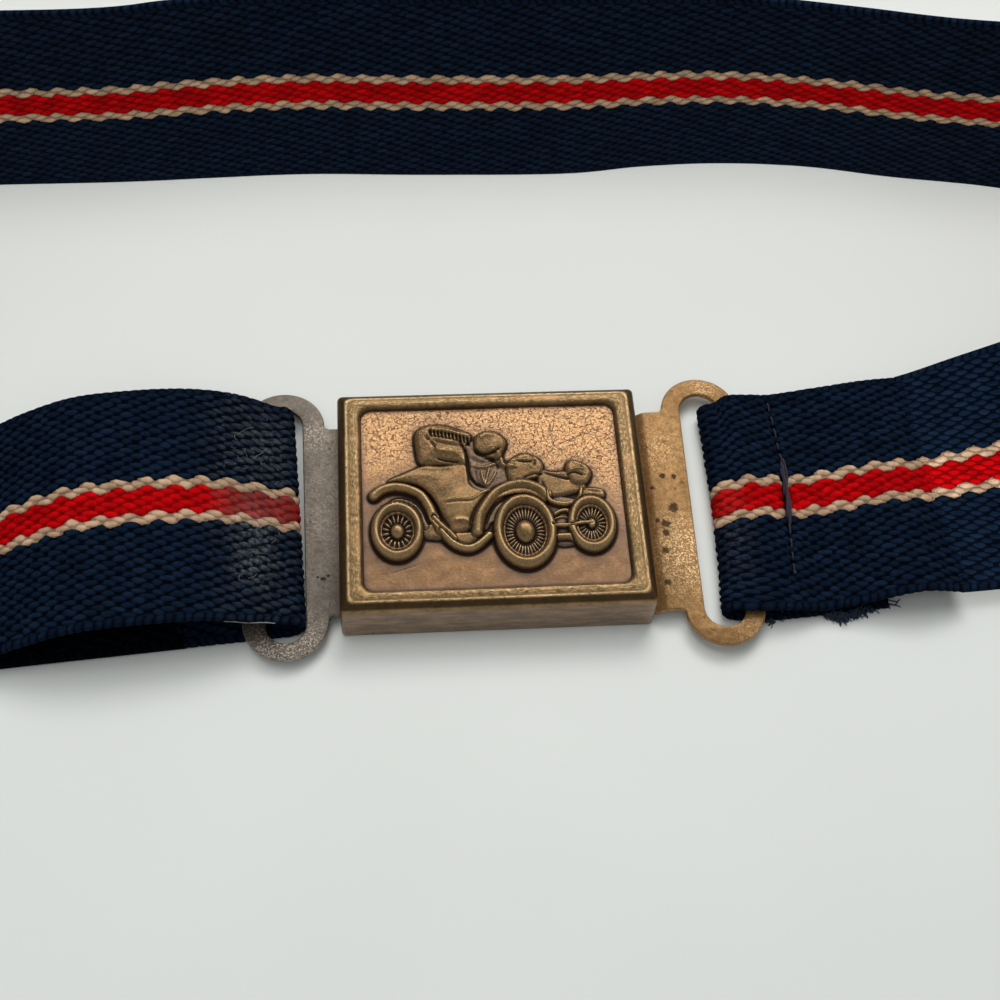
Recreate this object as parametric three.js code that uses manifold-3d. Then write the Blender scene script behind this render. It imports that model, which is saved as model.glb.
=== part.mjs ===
// An elastic belt with a stamped box buckle, fastened and lying on a flat surface.
// Millimetres, +Z up. The buckle lies at the front with its face up, +X to the wearer's left.
// The strap runs off to both sides, turns up onto its lower edge and closes behind the buckle.
import * as THREE from 'three';
import { mergeVertices } from 'three/addons/utils/BufferGeometryUtils.js';
import Module from 'manifold-3d';

const wasm = await Module();
wasm.setup();

// Driving dimensions
const gap = 0.3;
const cover = { length: 38.2, width: 30.6, height: 7.6, sheet: 0.6, corner: 0.8, lip: 4.0 };
const rim = { atEnds: 2.95, atSides: 2.45, depth: 0.62, panelCorner: 1.4 };
const relief = { height: 1.25, root: 0.2 };
const plate = { thickness: 0.8, ramp: 1.7 };
const hook = { bodyWidth: 26.8, tongueWidth: 18, tongueEnd: 6.2, shoulder: 14, lip: 0.9 };
const catchPlate = { insideEnd: 16.5, windowLength: 3.4 };
const strap = { width: 32, pinched: 31, thickness: 1.2, edge: 0.25 };
// Strap loops, from the middle of the buckle; ears: from the loop's middle to the centre of each round end
const hookLoop = { at: -26.0, radius: 5.3, ears: 13.7, slot: 4.9, slotEars: 14.2, slotShift: -0.2, askew: -1.0 };
const catchLoop = { at: 28.2, radius: 5.0, ears: 14.4, slot: 5.2, slotEars: 14.4, slotShift: 0, askew: 0.8 };
const waist = { leftReach: 122, rightReach: 118, depth: 59, skew: 4.5 };
const leftEnd = { foldHeight: 4.2, humpHeight: 7.7, humpStretch: 0.6, seamAt: 66, tail: 5, middle: 0.8, foldTurn: 3 };
const rightEnd = { foldAt: 30.4, seamAt: 39.5, tail: 8.3, middle: 0.2, foldTurn: -1.2 };
const stitched = 0.2;

// Levels that follow from the sheet, the plates and the strap
const baseBottom = cover.sheet + gap;
const tongueBottom = baseBottom + plate.thickness + gap;
const endOpening = tongueBottom + plate.thickness + gap;
const hookLoopBottom = strap.thickness + gap;
const catchLoopBottom = strap.thickness + 2 * gap;
const insideHalf = cover.width / 2 - cover.sheet;
const panelTop = cover.height - rim.depth;
const panelHalf = { x: cover.length / 2 - rim.atEnds, y: cover.width / 2 - rim.atSides };
const through = 1;

// Solids and meshes
function closedMesh(geometry) {
  const bare = geometry.index ? geometry.toNonIndexed() : geometry.clone();
  bare.deleteAttribute('normal');
  bare.deleteAttribute('uv');
  return mergeVertices(bare, 1e-5);
}

function solid(geometry) {
  const merged = closedMesh(geometry);
  const mesh = new wasm.Mesh({
    numProp: 3,
    vertProperties: new Float32Array(merged.attributes.position.array),
    triVerts: new Uint32Array(merged.index.array),
  });
  return new wasm.Manifold(mesh);
}

function geometryOf(body) {
  const mesh = body.getMesh();
  const geometry = new THREE.BufferGeometry();
  geometry.setAttribute('position', new THREE.BufferAttribute(new Float32Array(mesh.vertProperties), 3));
  geometry.setIndex(new THREE.BufferAttribute(new Uint32Array(mesh.triVerts), 1));
  return geometry;
}

function joined(bodies) {
  return bodies.reduce((whole, body) => whole.add(body));
}

function block(x0, x1, y0, y1, z0, z1) {
  const box = new THREE.BoxGeometry(x1 - x0, y1 - y0, z1 - z0);
  return solid(box.translate((x0 + x1) / 2, (y0 + y1) / 2, (z0 + z1) / 2));
}

function upright(shape, bottom, height, curveSegments = 8) {
  const extruded = new THREE.ExtrudeGeometry(shape, { depth: height, bevelEnabled: false, curveSegments });
  return solid(extruded.translate(0, 0, bottom));
}

// A bent strip of sheet: its side outline in X and Z, drawn out along Y
function bentStrip(outline, width) {
  const shape = new THREE.Shape(outline.map(([x, z]) => new THREE.Vector2(x, z)));
  const extruded = new THREE.ExtrudeGeometry(shape, { depth: width, bevelEnabled: false });
  return solid(extruded.rotateX(Math.PI / 2).translate(0, width / 2, 0));
}

// Rings of points, all alike in number, skinned into one closed body
function skinned(rings) {
  const count = rings[0].length;
  const centre = (ring) => ring.reduce((sum, p) => sum.add(p), new THREE.Vector3()).divideScalar(count);
  const vertices = [...rings.flat(), centre(rings[0]), centre(rings.at(-1))].flatMap((p) => p.toArray());
  const startCentre = rings.length * count;
  const endCentre = startCentre + 1;
  const faces = [];
  rings.slice(1).forEach((ring, i) => {
    for (let k = 0; k < count; k += 1) {
      const a = i * count + k;
      const b = i * count + ((k + 1) % count);
      faces.push(a, b, b + count, a, b + count, a + count);
    }
  });
  const last = (rings.length - 1) * count;
  for (let k = 0; k < count; k += 1) {
    const next = (k + 1) % count;
    faces.push(startCentre, next, k, endCentre, last + k, last + next);
  }
  const geometry = new THREE.BufferGeometry();
  geometry.setAttribute('position', new THREE.Float32BufferAttribute(vertices, 3));
  geometry.setIndex(faces);
  return geometry;
}

// The cover's outer skin, from its folded lower edge up and over the rim to the recessed panel
// across: share of the rim's width; down: share of the panel's depth below the crest
const rimProfile = [
  { across: 0.0, down: 2.3 },
  { across: 0.03, down: 1.5 },
  { across: 0.12, down: 0.95 },
  { across: 0.26, down: 0.62 },
  { across: 0.46, down: 0.4 },
  { across: 0.6, down: 0.08 },
  { across: 0.72, down: 0.0 },
  { across: 0.84, down: 0.22 },
  { across: 0.94, down: 0.8 },
  { across: 1.0, down: 1.0 },
];
const foldProfile = [
  { inset: 0.8, up: 0.0 },
  { inset: 0.25, up: 0.2 },
  { inset: 0.0, up: 0.8 },
];
const cornerSteps = 4;

function roundedRing(halfX, halfY, radius, z) {
  const points = [];
  for (let quarter = 0; quarter < 4; quarter += 1) {
    const sx = quarter === 0 || quarter === 3 ? 1 : -1;
    const sy = quarter < 2 ? 1 : -1;
    for (let step = 0; step <= cornerSteps; step += 1) {
      const angle = (quarter + step / cornerSteps) * Math.PI / 2;
      const x = sx * (halfX - radius) + radius * Math.cos(angle);
      const y = sy * (halfY - radius) + radius * Math.sin(angle);
      points.push(new THREE.Vector3(x, y, z));
    }
  }
  return points;
}

function coverSkin() {
  const rings = foldProfile.map(({ inset, up }) => {
    const shrink = inset * cover.sheet;
    const half = [cover.length / 2 - shrink, cover.width / 2 - shrink];
    return roundedRing(half[0], half[1], cover.corner, up * cover.sheet);
  });
  rimProfile.forEach(({ across, down }) => {
    const radius = THREE.MathUtils.lerp(cover.corner, rim.panelCorner, across);
    const halfX = cover.length / 2 - across * rim.atEnds;
    const halfY = cover.width / 2 - across * rim.atSides;
    rings.push(roundedRing(halfX, halfY, radius, cover.height - down * rim.depth));
  });
  return solid(skinned(rings));
}

// Relief: a veteran motor car, facing +X
// All its places are in hundredths of the panel's half length and half width, from the middle.
const reliefX = (share) => share / 100 * panelHalf.x;
const reliefY = (share) => share / 100 * panelHalf.y;
const reliefBottom = panelTop - relief.root;

// A raised flat form with a spline outline; top: share of the relief's height
function raised(outline, top) {
  const curve = new THREE.CatmullRomCurve3(
    outline.map(([x, y]) => new THREE.Vector3(reliefX(x), reliefY(y), 0)), true, 'centripetal');
  const points = curve.getPoints(outline.length * 2).slice(0, -1);
  const shape = new THREE.Shape(points.map((p) => new THREE.Vector2(p.x, p.y)));
  return upright(shape, reliefBottom, relief.root + top * relief.height);
}

// A raised bead along a line; thick: its width in millimetres as a share of the relief's height
function bead(line, thick, top) {
  const points = line.map(([x, y]) => new THREE.Vector3(reliefX(x), reliefY(y), reliefBottom));
  const path = new THREE.CatmullRomCurve3(points, false, 'centripetal');
  const half = thick * relief.height / 2;
  const crest = relief.root + top * relief.height;
  const steps = line.length * 2;
  const section = [[-1, 0], [-1, 0.6], [-0.55, 0.94], [0, 1], [0.55, 0.94], [1, 0.6], [1, 0]];
  const rings = [];
  for (let step = 0; step <= steps; step += 1) {
    const place = path.getPoint(step / steps);
    const along = path.getTangent(step / steps);
    const side = new THREE.Vector3(-along.y, along.x, 0).normalize();
    rings.push(section.map(([out, up]) => place.clone().addScaledVector(side, -out * half)
      .add(new THREE.Vector3(0, 0, up * crest))));
  }
  return solid(skinned(rings));
}

// A tyre with a rounded top, a hub and spokes, squeezed into an ellipse
function wheel({ x, y, rx, ry, tyre, hub, spokes, top }) {
  const radius = reliefX(rx);
  const half = tyre * radius;
  const crest = relief.root + top * relief.height;
  const stretch = reliefY(ry) / radius;
  const tyreSection = [[1, 0], [1, 0.6], [0.6, 0.92], [0, 1], [-0.6, 0.92], [-1, 0.5], [-1, 0], [1, 0]];
  const tyreRing = new THREE.LatheGeometry(
    tyreSection.map(([out, up]) => new THREE.Vector2(radius + out * half, up * crest)), 28);
  const hubDome = new THREE.LatheGeometry(
    [[0, 0], [1, 0], [1, 0.6], [0.7, 0.9], [0, 1]]
      .map(([out, up]) => new THREE.Vector2(out * hub * radius, up * crest)), 14);
  const disc = new THREE.CylinderGeometry(radius, radius, relief.root + 0.25 * relief.height, 24);
  disc.translate(0, (relief.root + 0.25 * relief.height) / 2, 0);
  const bodies = [tyreRing, hubDome, disc].map((form) => solid(form.rotateX(Math.PI / 2)));
  const spokeHeight = relief.root + 0.5 * relief.height;
  for (let k = 0; k < spokes; k += 1) {
    const spoke = new THREE.BoxGeometry(radius, 0.25 * half, spokeHeight);
    spoke.translate(radius / 2, 0, spokeHeight / 2).rotateZ((k + 0.5) / spokes * 2 * Math.PI);
    bodies.push(solid(spoke));
  }
  return joined(bodies).scale([1, stretch, 1]).translate([reliefX(x), reliefY(y), reliefBottom]);
}

function carRelief() {
  const bodyside = raised([[-80, 18], [-66, 27], [-52, 34], [-38, 33], [-19, 33], [-17, 12], [-7, 5],
    [0, 12], [12, 16], [30, 10], [40, 2], [42, -10], [20, -20], [-20, -40], [-36, -38], [-46, -6],
    [-58, 12], [-72, 16]], 0.55);
  const hood = raised([[-54, 34], [-58, 50], [-58, 70], [-50, 79], [-36, 80], [-22, 73], [-14, 66],
    [-18, 52], [-18, 34], [-36, 33]], 0.85);
  const screen = raised([[-12, 62], [-4, 70], [6, 69], [13, 58], [10, 46], [6, 38], [-4, 42],
    [-12, 50]], 0.75);
  const cabin = raised([[-19, 56], [-8, 58], [6, 44], [12, 32], [12, 12], [2, 6], [-10, 4], [-18, 16]], 0.3);
  const cowl = raised([[11, 30], [18, 40], [26, 44], [34, 41], [40, 32], [39, 21], [30, 14], [14, 12]], 0.7);
  const bonnet = raised([[36, 25], [48, 23], [58, 23], [70, 12], [72, 2], [64, -2], [44, -6], [36, 4]], 0.5);
  const lamp = raised([[57, 24], [61, 34], [68, 33], [75, 27], [77, 17], [71, 6], [61, 8]], 0.75);
  const hornBlock = raised([[69, 2], [77, 3], [85, 0], [85, -8], [76, -9], [68, -8]], 0.65);
  const underside = raised([[42, -8], [66, -10], [70, -30], [66, -54], [44, -56]], 0.25);
  const sill = raised([[-54, -34], [-44, -30], [-34, -40], [-12, -40], [-10, -46], [-22, -56],
    [-34, -50], [-54, -46]], 0.45);
  const rearGuard = bead([[-93, -3], [-86, 4], [-76, 8], [-66, 7], [-56, 1], [-50, -11], [-46, -25],
    [-41, -40]], 1.05, 0.85);
  const frontGuard = bead([[-14, -42], [-12, -26], [-6, -12], [2, 0], [12, 7], [23, 9], [33, 5],
    [41, -3]], 1.25, 0.9);
  const runningBoard = bead([[-40, -42], [-33, -52], [-26, -57], [-20, -58], [-13, -55], [-5, -46]], 0.85, 0.8);
  const spring = bead([[42, 1], [42, -8], [46, -13], [53, -15], [61, -14], [66, -8], [68, 1]], 0.5, 0.8);
  const leaf = bead([[46, -25], [51, -22], [56, -22], [61, -27], [67, -33]], 0.42, 0.6);
  const axle = bead([[46, -38], [60, -38], [73, -36]], 0.5, 0.65);
  const beam = bead([[45, -50], [56, -50], [62, -53], [67, -59]], 0.9, 0.7);
  const wheels = [
    wheel({ x: -74, y: -37, rx: 16.4, ry: 25, tyre: 0.19, hub: 0.3, spokes: 8, top: 0.95 }),
    wheel({ x: 22.5, y: -41, rx: 19.8, ry: 31, tyre: 0.17, hub: 0.38, spokes: 12, top: 1.0 }),
    wheel({ x: 73.5, y: -36, rx: 15.2, ry: 25, tyre: 0.19, hub: 0.26, spokes: 8, top: 0.9 }),
  ];
  return joined([bodyside, hood, screen, cabin, cowl, bonnet, lamp, hornBlock, underside, sill, rearGuard,
    frontGuard, runningBoard, spring, leaf, axle, beam, ...wheels]);
}

function buckleCover() {
  const inX = cover.length / 2 - cover.sheet;
  const past = cover.length;
  const cavity = block(-inX, inX, -insideHalf, insideHalf, cover.sheet, panelTop - cover.sheet);
  const endWays = block(-past, past, -insideHalf, insideHalf, cover.sheet, endOpening);
  const betweenLips = insideHalf - cover.lip;
  const open = block(-past, past, -betweenLips, betweenLips, -cover.sheet, 2 * cover.sheet);
  return coverSkin().add(carRelief()).subtract(cavity).subtract(endWays).subtract(open);
}

// The loop that holds the strap, at one end of a plate: a round-ended slot in a round-ended bar
function roundEnded(halfLength, radius) {
  const shape = new THREE.Shape();
  shape.absarc(0, halfLength, radius, 0, Math.PI, false);
  shape.absarc(0, -halfLength, radius, Math.PI, 2 * Math.PI, false);
  return shape;
}

function strapLoop(loop, bottom) {
  const outer = upright(roundEnded(loop.ears, loop.radius), bottom, plate.thickness, 14);
  const slot = upright(roundEnded(loop.slotEars, loop.slot / 2), bottom - through,
    plate.thickness + 2 * through, 12).translate([0, loop.slotShift, 0]);
  const place = (form) => form.rotate([0, 0, -loop.askew]).translate([loop.at, 0, 0]);
  return { outer: place(outer), slot: place(slot) };
}

// Catch plate: held by the cover's folded lips, stepping up outside it to its strap loop
function loopPlate() {
  const wallOut = cover.length / 2 + gap;
  const rampEnd = wallOut + plate.ramp;
  const up = catchLoopBottom - baseBottom;
  const t = plate.thickness;
  const strip = bentStrip([
    [-catchPlate.insideEnd, baseBottom], [wallOut, baseBottom], [rampEnd, baseBottom + up],
    [catchLoop.at, baseBottom + up], [catchLoop.at, baseBottom + up + t],
    [rampEnd, baseBottom + up + t], [wallOut, baseBottom + t], [-catchPlate.insideEnd, baseBottom + t],
  ], 2 * (insideHalf - gap));
  const windowStart = hook.tongueEnd - hook.lip - gap;
  const windowHalf = hook.tongueWidth / 2 + gap;
  const window = block(windowStart, windowStart + catchPlate.windowLength, -windowHalf, windowHalf,
    baseBottom - through, baseBottom + t + through);
  const { outer, slot } = strapLoop(catchLoop, catchLoopBottom);
  return strip.add(outer).subtract(slot).subtract(window);
}

// Hook plate: its tongue slides over the catch plate and hooks down into the window
function hookPlate() {
  const t = plate.thickness;
  const wallIn = -(cover.length / 2 - cover.sheet - gap);
  const stepEnd = wallIn + plate.ramp;
  const body = bentStrip([
    [hookLoop.at, hookLoopBottom], [wallIn, hookLoopBottom], [stepEnd, tongueBottom],
    [-hook.shoulder, tongueBottom], [-hook.shoulder, tongueBottom + t], [stepEnd, tongueBottom + t],
    [wallIn, hookLoopBottom + t], [hookLoop.at, hookLoopBottom + t],
  ], hook.bodyWidth);
  const tongue = bentStrip([
    [-hook.shoulder - through, tongueBottom], [hook.tongueEnd - hook.lip, tongueBottom],
    [hook.tongueEnd - hook.lip, baseBottom], [hook.tongueEnd, baseBottom],
    [hook.tongueEnd, tongueBottom + t], [-hook.shoulder - through, tongueBottom + t],
  ], hook.tongueWidth);
  const { outer, slot } = strapLoop(hookLoop, hookLoopBottom);
  return body.add(tongue).add(outer).subtract(slot);
}

// Strap: one ribbon from its left tail, through the left loop, round the waist and back through
// the right loop. Each row gives the middle of a section in X and Y, its tilt up from flat, its
// lift above lying on the surface, and the plan direction of its inner edge in degrees.
const lying = strap.thickness / 2;
const turnAtLeft = 90 + waist.skew;
const turnAtRight = turnAtLeft - 360;
const leftFoldTurn = 90 + leftEnd.foldTurn;
const rightFoldTurn = 90 + rightEnd.foldTurn - 360;
const slope = Math.tan(THREE.MathUtils.degToRad(waist.skew));

// The fold through a loop: a half circle from the lower layer up to the upper one, pinched at its far edge
const foldSteps = 6;
function foldRows(centre, side, height, middle, turn) {
  const radius = height / 2;
  const pinch = (strap.width - strap.pinched) / 2;
  const rows = [];
  for (let step = 0; step <= foldSteps; step += 1) {
    const angle = Math.PI * (step / foldSteps - 0.5);
    const x = centre + side * radius * Math.cos(angle);
    rows.push({
      x, y: middle - pinch + slope * (x - centre), tilt: 0, lift: radius * (1 + Math.sin(angle)), turn,
      width: strap.pinched,
    });
  }
  return rows;
}

const leftFoldRadius = (leftEnd.foldHeight - lying) / 2;
const foldSwing = strap.pinched / 2 * Math.sin(THREE.MathUtils.degToRad(leftEnd.foldTurn));
const slotSwing = hookLoop.slotEars * Math.sin(THREE.MathUtils.degToRad(-hookLoop.askew));
const leftFoldFront = hookLoop.at + hookLoop.slot / 2 + slotSwing - gap - foldSwing - lying;
const leftFoldAt = leftFoldFront - leftFoldRadius;
const rightFoldHeight = catchLoopBottom + plate.thickness + gap;
const seamLift = strap.thickness + stitched;

// along: share of the way from the fold to the seam; rise: share of the hump's height
const humpRows = [
  { along: 0.11, rise: 0.67 },
  { along: 0.26, rise: 0.92 },
  { along: 0.45, rise: 1.0 },
  { along: 0.62, rise: 0.95 },
  { along: 0.78, rise: 0.66 },
  { along: 0.9, rise: 0.34 },
  { along: 1.0, rise: 0.19 },
];

// Beyond the seams: out is the share of the way from the seam to the end of the reach, across the
// share of the loop's depth, lift the share of the strap's width
const leftRows = [
  { out: 0.16, across: -0.05, tilt: 6, lift: 0.05 },
  { out: 0.34, across: -0.035, tilt: 26, lift: 0.0 },
  { out: 0.56, across: 0.04, tilt: 53, lift: 0 },
  { out: 0.79, across: 0.18, tilt: 76, lift: 0 },
  { out: 0.95, across: 0.37, tilt: 88, lift: 0 },
  { out: 1.0, across: 0.58, tilt: 90, lift: 0 },
  { out: 0.87, across: 0.8, tilt: 90, lift: 0 },
  { out: 0.6, across: 0.935, tilt: 90, lift: 0 },
  { out: 0.28, across: 0.98, tilt: 89, lift: 0 },
];
// The back runs from left to right; x is the share of the reach on its side
const backRows = [
  { x: -0.41, across: 0.989, tilt: 89 },
  { x: -0.31, across: 1.006, tilt: 91 },
  { x: -0.19, across: 1.018, tilt: 92 },
  { x: -0.05, across: 1.009, tilt: 92 },
  { x: 0.12, across: 1.005, tilt: 92 },
  { x: 0.22, across: 1.015, tilt: 90 },
  { x: 0.32, across: 1.012, tilt: 88 },
];
const rightRows = [
  { out: 0.14, across: 0.987, tilt: 86, lift: 0 },
  { out: 0.3, across: 0.948, tilt: 86, lift: 0 },
  { out: 0.52, across: 0.905, tilt: 87, lift: 0 },
  { out: 0.74, across: 0.82, tilt: 89, lift: 0 },
  { out: 0.92, across: 0.68, tilt: 90, lift: 0 },
  { out: 1.0, across: 0.5, tilt: 89, lift: 0 },
  { out: 0.94, across: 0.32, tilt: 84, lift: 0 },
  { out: 0.8, across: 0.175, tilt: 72, lift: 0 },
  { out: 0.62, across: 0.1, tilt: 50, lift: 0 },
  { out: 0.44, across: 0.06, tilt: 24, lift: 0.01 },
  { out: 0.29, across: 0.04, tilt: 6, lift: 0.08 },
  { out: 0.17, across: 0.028, tilt: -2, lift: 0.1 },
  { out: 0.08, across: 0.022, tilt: -1, lift: 0.07 },
];

function strapRows() {
  const rows = [];
  const leftSeam = -leftEnd.seamAt;
  const run = leftSeam - leftFoldAt;
  [1 - leftEnd.tail / run, 1, 0.75, 0.5, 0.25, 0.1].forEach((along) => {
    const x = leftFoldAt + run * along;
    rows.push({ x, y: leftEnd.middle + slope * (x - leftFoldAt), tilt: 0, lift: 0, turn: turnAtLeft });
  });
  rows.push(...foldRows(leftFoldAt, 1, 2 * leftFoldRadius, leftEnd.middle, leftFoldTurn));
  humpRows.forEach(({ along, rise }) => {
    const x = leftFoldAt + run * along;
    const lift = along < 1 ? rise * leftEnd.humpHeight : seamLift;
    const y = leftEnd.middle + slope * (x - leftFoldAt) + rise * leftEnd.humpStretch / 2;
    rows.push({ x, y, tilt: 0, lift, turn: turnAtLeft, width: strap.width + rise * leftEnd.humpStretch });
  });
  leftRows.forEach(({ out, across, tilt, lift }) => rows.push({
    x: leftSeam - out * (waist.leftReach - leftEnd.seamAt), y: across * waist.depth, tilt, lift: lift * strap.width,
  }));
  backRows.forEach(({ x, across, tilt }) => rows.push({
    x: x * (x < 0 ? waist.leftReach : waist.rightReach), y: across * waist.depth, tilt, lift: 0,
  }));
  rightRows.forEach(({ out, across, tilt, lift }) => rows.push({
    x: rightEnd.seamAt + out * (waist.rightReach - rightEnd.seamAt), y: across * waist.depth, tilt,
    lift: lift * strap.width,
  }));
  const rightY = (x) => rightEnd.middle + slope * (x - rightEnd.foldAt);
  const between = (share) => THREE.MathUtils.lerp(rightEnd.foldAt, rightEnd.seamAt, share);
  [[1, seamLift], [0.66, 0.75 * rightFoldHeight], [0.33, 0.98 * rightFoldHeight]].forEach(([share, lift]) => {
    rows.push({ x: between(share), y: rightY(between(share)), tilt: 0, lift, turn: turnAtRight });
  });
  rows.push(...foldRows(rightEnd.foldAt, -1, rightFoldHeight, rightEnd.middle, rightFoldTurn).reverse());
  const tailEnd = rightEnd.seamAt + rightEnd.tail;
  [between(0.33), between(0.66), rightEnd.seamAt, tailEnd].forEach((x) => {
    rows.push({ x, y: rightY(x), tilt: 0, lift: 0, turn: turnAtRight });
  });
  return rows;
}

// Rows beyond the seams take their inner direction from the way the loop runs there
function withTurns(rows) {
  let last = turnAtLeft;
  return rows.map((row, i) => {
    let { turn } = row;
    if (turn === undefined) {
      const heading = Math.atan2(rows[i + 1].y - rows[i - 1].y, rows[i + 1].x - rows[i - 1].x);
      turn = THREE.MathUtils.radToDeg(heading) - 90;
      while (turn > last + 180) turn -= 360;
      while (turn < last - 180) turn += 360;
    }
    last = turn;
    return { ...row, turn };
  });
}

const samplesPerRow = 4;
function strapGeometry() {
  const rows = withTurns(strapRows());
  const smooth = (pick) => new THREE.CatmullRomCurve3(rows.map(pick), false, 'catmullrom', 0.5);
  const places = smooth((row) => new THREE.Vector3(row.x, row.y, row.width ?? strap.width));
  const poses = smooth((row) => new THREE.Vector3(row.tilt, row.lift, row.turn));
  const count = (rows.length - 1) * samplesPerRow;
  const middles = [];
  const bearings = [];
  for (let i = 0; i <= count; i += 1) {
    const middle = places.getPoint(i / count);
    const pose = poses.getPoint(i / count);
    const tilt = THREE.MathUtils.degToRad(pose.x);
    const turn = THREE.MathUtils.degToRad(pose.z);
    const half = middle.z / 2;
    middle.z = half * Math.abs(Math.sin(tilt)) + lying * Math.abs(Math.cos(tilt)) + Math.max(pose.y, 0);
    middles.push(middle);
    bearings.push({ tilt, turn, half });
  }
  const rings = middles.map((middle, i) => {
    const before = middles[Math.max(i - 1, 0)];
    const after = middles[Math.min(i + 1, count)];
    const along = after.clone().sub(before).normalize();
    const { tilt, turn, half } = bearings[i];
    const flat = half - strap.edge;
    const inner = flat / 3;
    const section = [[half, 0], [flat, -lying], [inner, -lying], [-inner, -lying], [-flat, -lying],
      [-half, 0], [-flat, lying], [-inner, lying], [inner, lying], [flat, lying]];
    const inward = new THREE.Vector3(Math.cos(turn), Math.sin(turn), 0);
    const face = inward.clone().cross(along).normalize();
    const across = inward.clone().multiplyScalar(Math.cos(tilt)).addScaledVector(face, Math.sin(tilt));
    const normal = face.clone().multiplyScalar(Math.cos(tilt)).addScaledVector(inward, -Math.sin(tilt));
    return section.map(([side, up]) => middle.clone()
      .addScaledVector(across, side).addScaledVector(normal, up));
  });
  return skinned(rings);
}

// Finishes
const agedBrass = new THREE.MeshStandardMaterial({ color: 0x9a7444, roughness: 0.42, metalness: 0.9 });
const copperPlate = new THREE.MeshStandardMaterial({ color: 0xb9875a, roughness: 0.45, metalness: 0.9 });
const greyedBrass = new THREE.MeshStandardMaterial({ color: 0x7d7467, roughness: 0.5, metalness: 0.85 });
const webbing = new THREE.MeshStandardMaterial({ color: 0x0f1c30, roughness: 0.95, metalness: 0.0 });

function named(name, geometry, material) {
  const mesh = new THREE.Mesh(geometry, material);
  mesh.name = name;
  return mesh;
}

const belt = new THREE.Group();
belt.add(
  named('buckle_cover', geometryOf(buckleCover()), agedBrass),
  named('loop_plate', geometryOf(loopPlate()), copperPlate),
  named('hook_plate', geometryOf(hookPlate()), greyedBrass),
  named('strap', strapGeometry(), webbing),
);

// The origin is on the surface, below the middle of the whole belt
const extent = new THREE.Box3().setFromObject(belt);
const middle = extent.getCenter(new THREE.Vector3());
belt.position.set(-middle.x, -middle.y, -extent.min.z);

const whole = new THREE.Group();
whole.add(belt);
export default whole;
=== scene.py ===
"""An elastic belt with a stamped box buckle, fastened and lying on a pale surface."""

import math

import bmesh
import bpy
import numpy as np
from mathutils import Matrix, Vector


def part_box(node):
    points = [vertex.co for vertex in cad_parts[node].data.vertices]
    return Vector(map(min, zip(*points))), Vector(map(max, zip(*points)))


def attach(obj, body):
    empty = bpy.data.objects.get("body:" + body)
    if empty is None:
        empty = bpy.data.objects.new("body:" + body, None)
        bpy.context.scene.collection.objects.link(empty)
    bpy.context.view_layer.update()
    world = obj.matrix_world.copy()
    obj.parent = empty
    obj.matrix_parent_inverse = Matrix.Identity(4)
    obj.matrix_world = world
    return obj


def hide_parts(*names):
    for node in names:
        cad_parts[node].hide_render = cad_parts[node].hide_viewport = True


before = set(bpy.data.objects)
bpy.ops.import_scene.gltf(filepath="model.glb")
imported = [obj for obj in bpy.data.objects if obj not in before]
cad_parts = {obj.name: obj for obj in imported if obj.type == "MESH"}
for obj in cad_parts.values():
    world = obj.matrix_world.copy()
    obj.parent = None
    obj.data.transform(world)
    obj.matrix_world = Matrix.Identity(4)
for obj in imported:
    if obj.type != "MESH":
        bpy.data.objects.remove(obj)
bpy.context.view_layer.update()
rng = np.random.default_rng(11)

# Lengths below are millimetres from the middle of the buckle; the row frame is in metres.
LOW, HIGH = (np.array(corner) * 1000 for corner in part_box("buckle_cover"))
MIDDLE = np.array([(LOW[0] + HIGH[0]) / 2, (LOW[1] + HIGH[1]) / 2, 0.0])
COVER = {"length": HIGH[0] - LOW[0], "width": HIGH[1] - LOW[1], "height": 7.6, "corner": 0.55, "sheet": 0.6}
RIM = {"at_ends": 2.95, "at_sides": 2.45, "depth": 0.62, "panel_corner": 1.4}
PANEL_TOP = COVER["height"] - RIM["depth"]
PANEL_HALF = (COVER["length"] / 2 - RIM["at_ends"], COVER["width"] / 2 - RIM["at_sides"])
RELIEF = 1.25
# Each plate goes straight from its cut line by the cover's wall to a loop of two ears with a slot between.
# drop: how far it steps down over its bends; skip: points of the loop's arc that the inner corner replaces.
PLATE = 0.8
CATCH = {"side": 1, "cut": 18.9, "half_width": 14.4, "at": 28.2, "ears": 14.4, "radius": 5.0, "askew": 0.8,
         "slot": 5.2, "slot_ears": 14.4, "slot_shift": 0, "bottom": 1.8, "drop": 0.9,
         "bends": (19.4, 19.8, 20.25, 20.7, 21.1), "skip": 1}
HOOK = {"side": -1, "cut": -18.6, "half_width": 13.4, "at": -26.0, "ears": 13.7, "radius": 5.3, "askew": -1.0,
        "slot": 4.9, "slot_ears": 14.2, "slot_shift": -0.2, "bottom": 1.5, "drop": 0.0,
        "bends": (), "skip": 0}


# mesh helpers

def to_row(points):
    return (np.asarray(points, dtype=float) + MIDDLE) / 1000


def add_object(name, points, faces, material, attributes=None):
    mesh = bpy.data.meshes.new(name)
    mesh.from_pydata(to_row(points).tolist(), [], faces)
    for key, values in (attributes or {}).items():
        layer = mesh.attributes.new(key, "FLOAT_VECTOR", "POINT")
        layer.data.foreach_set("vector", np.asarray(values, dtype=np.float32).ravel())
    mesh.validate()
    mesh.polygons.foreach_set("use_smooth", [True] * len(mesh.polygons))
    obj = bpy.data.objects.new(name, mesh)
    bpy.context.scene.collection.objects.link(obj)
    obj.data.materials.append(material)
    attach(obj, "root")
    return obj


def grid_faces(rows, columns, wrap=False):
    i = np.arange(rows - 1)[:, None]
    j = np.arange(columns if wrap else columns - 1)[None, :]
    nxt = (j + 1) % columns
    quads = np.stack([i * columns + j, i * columns + nxt, (i + 1) * columns + nxt, (i + 1) * columns + j], -1)
    return quads.reshape(-1, 4).tolist()


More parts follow.
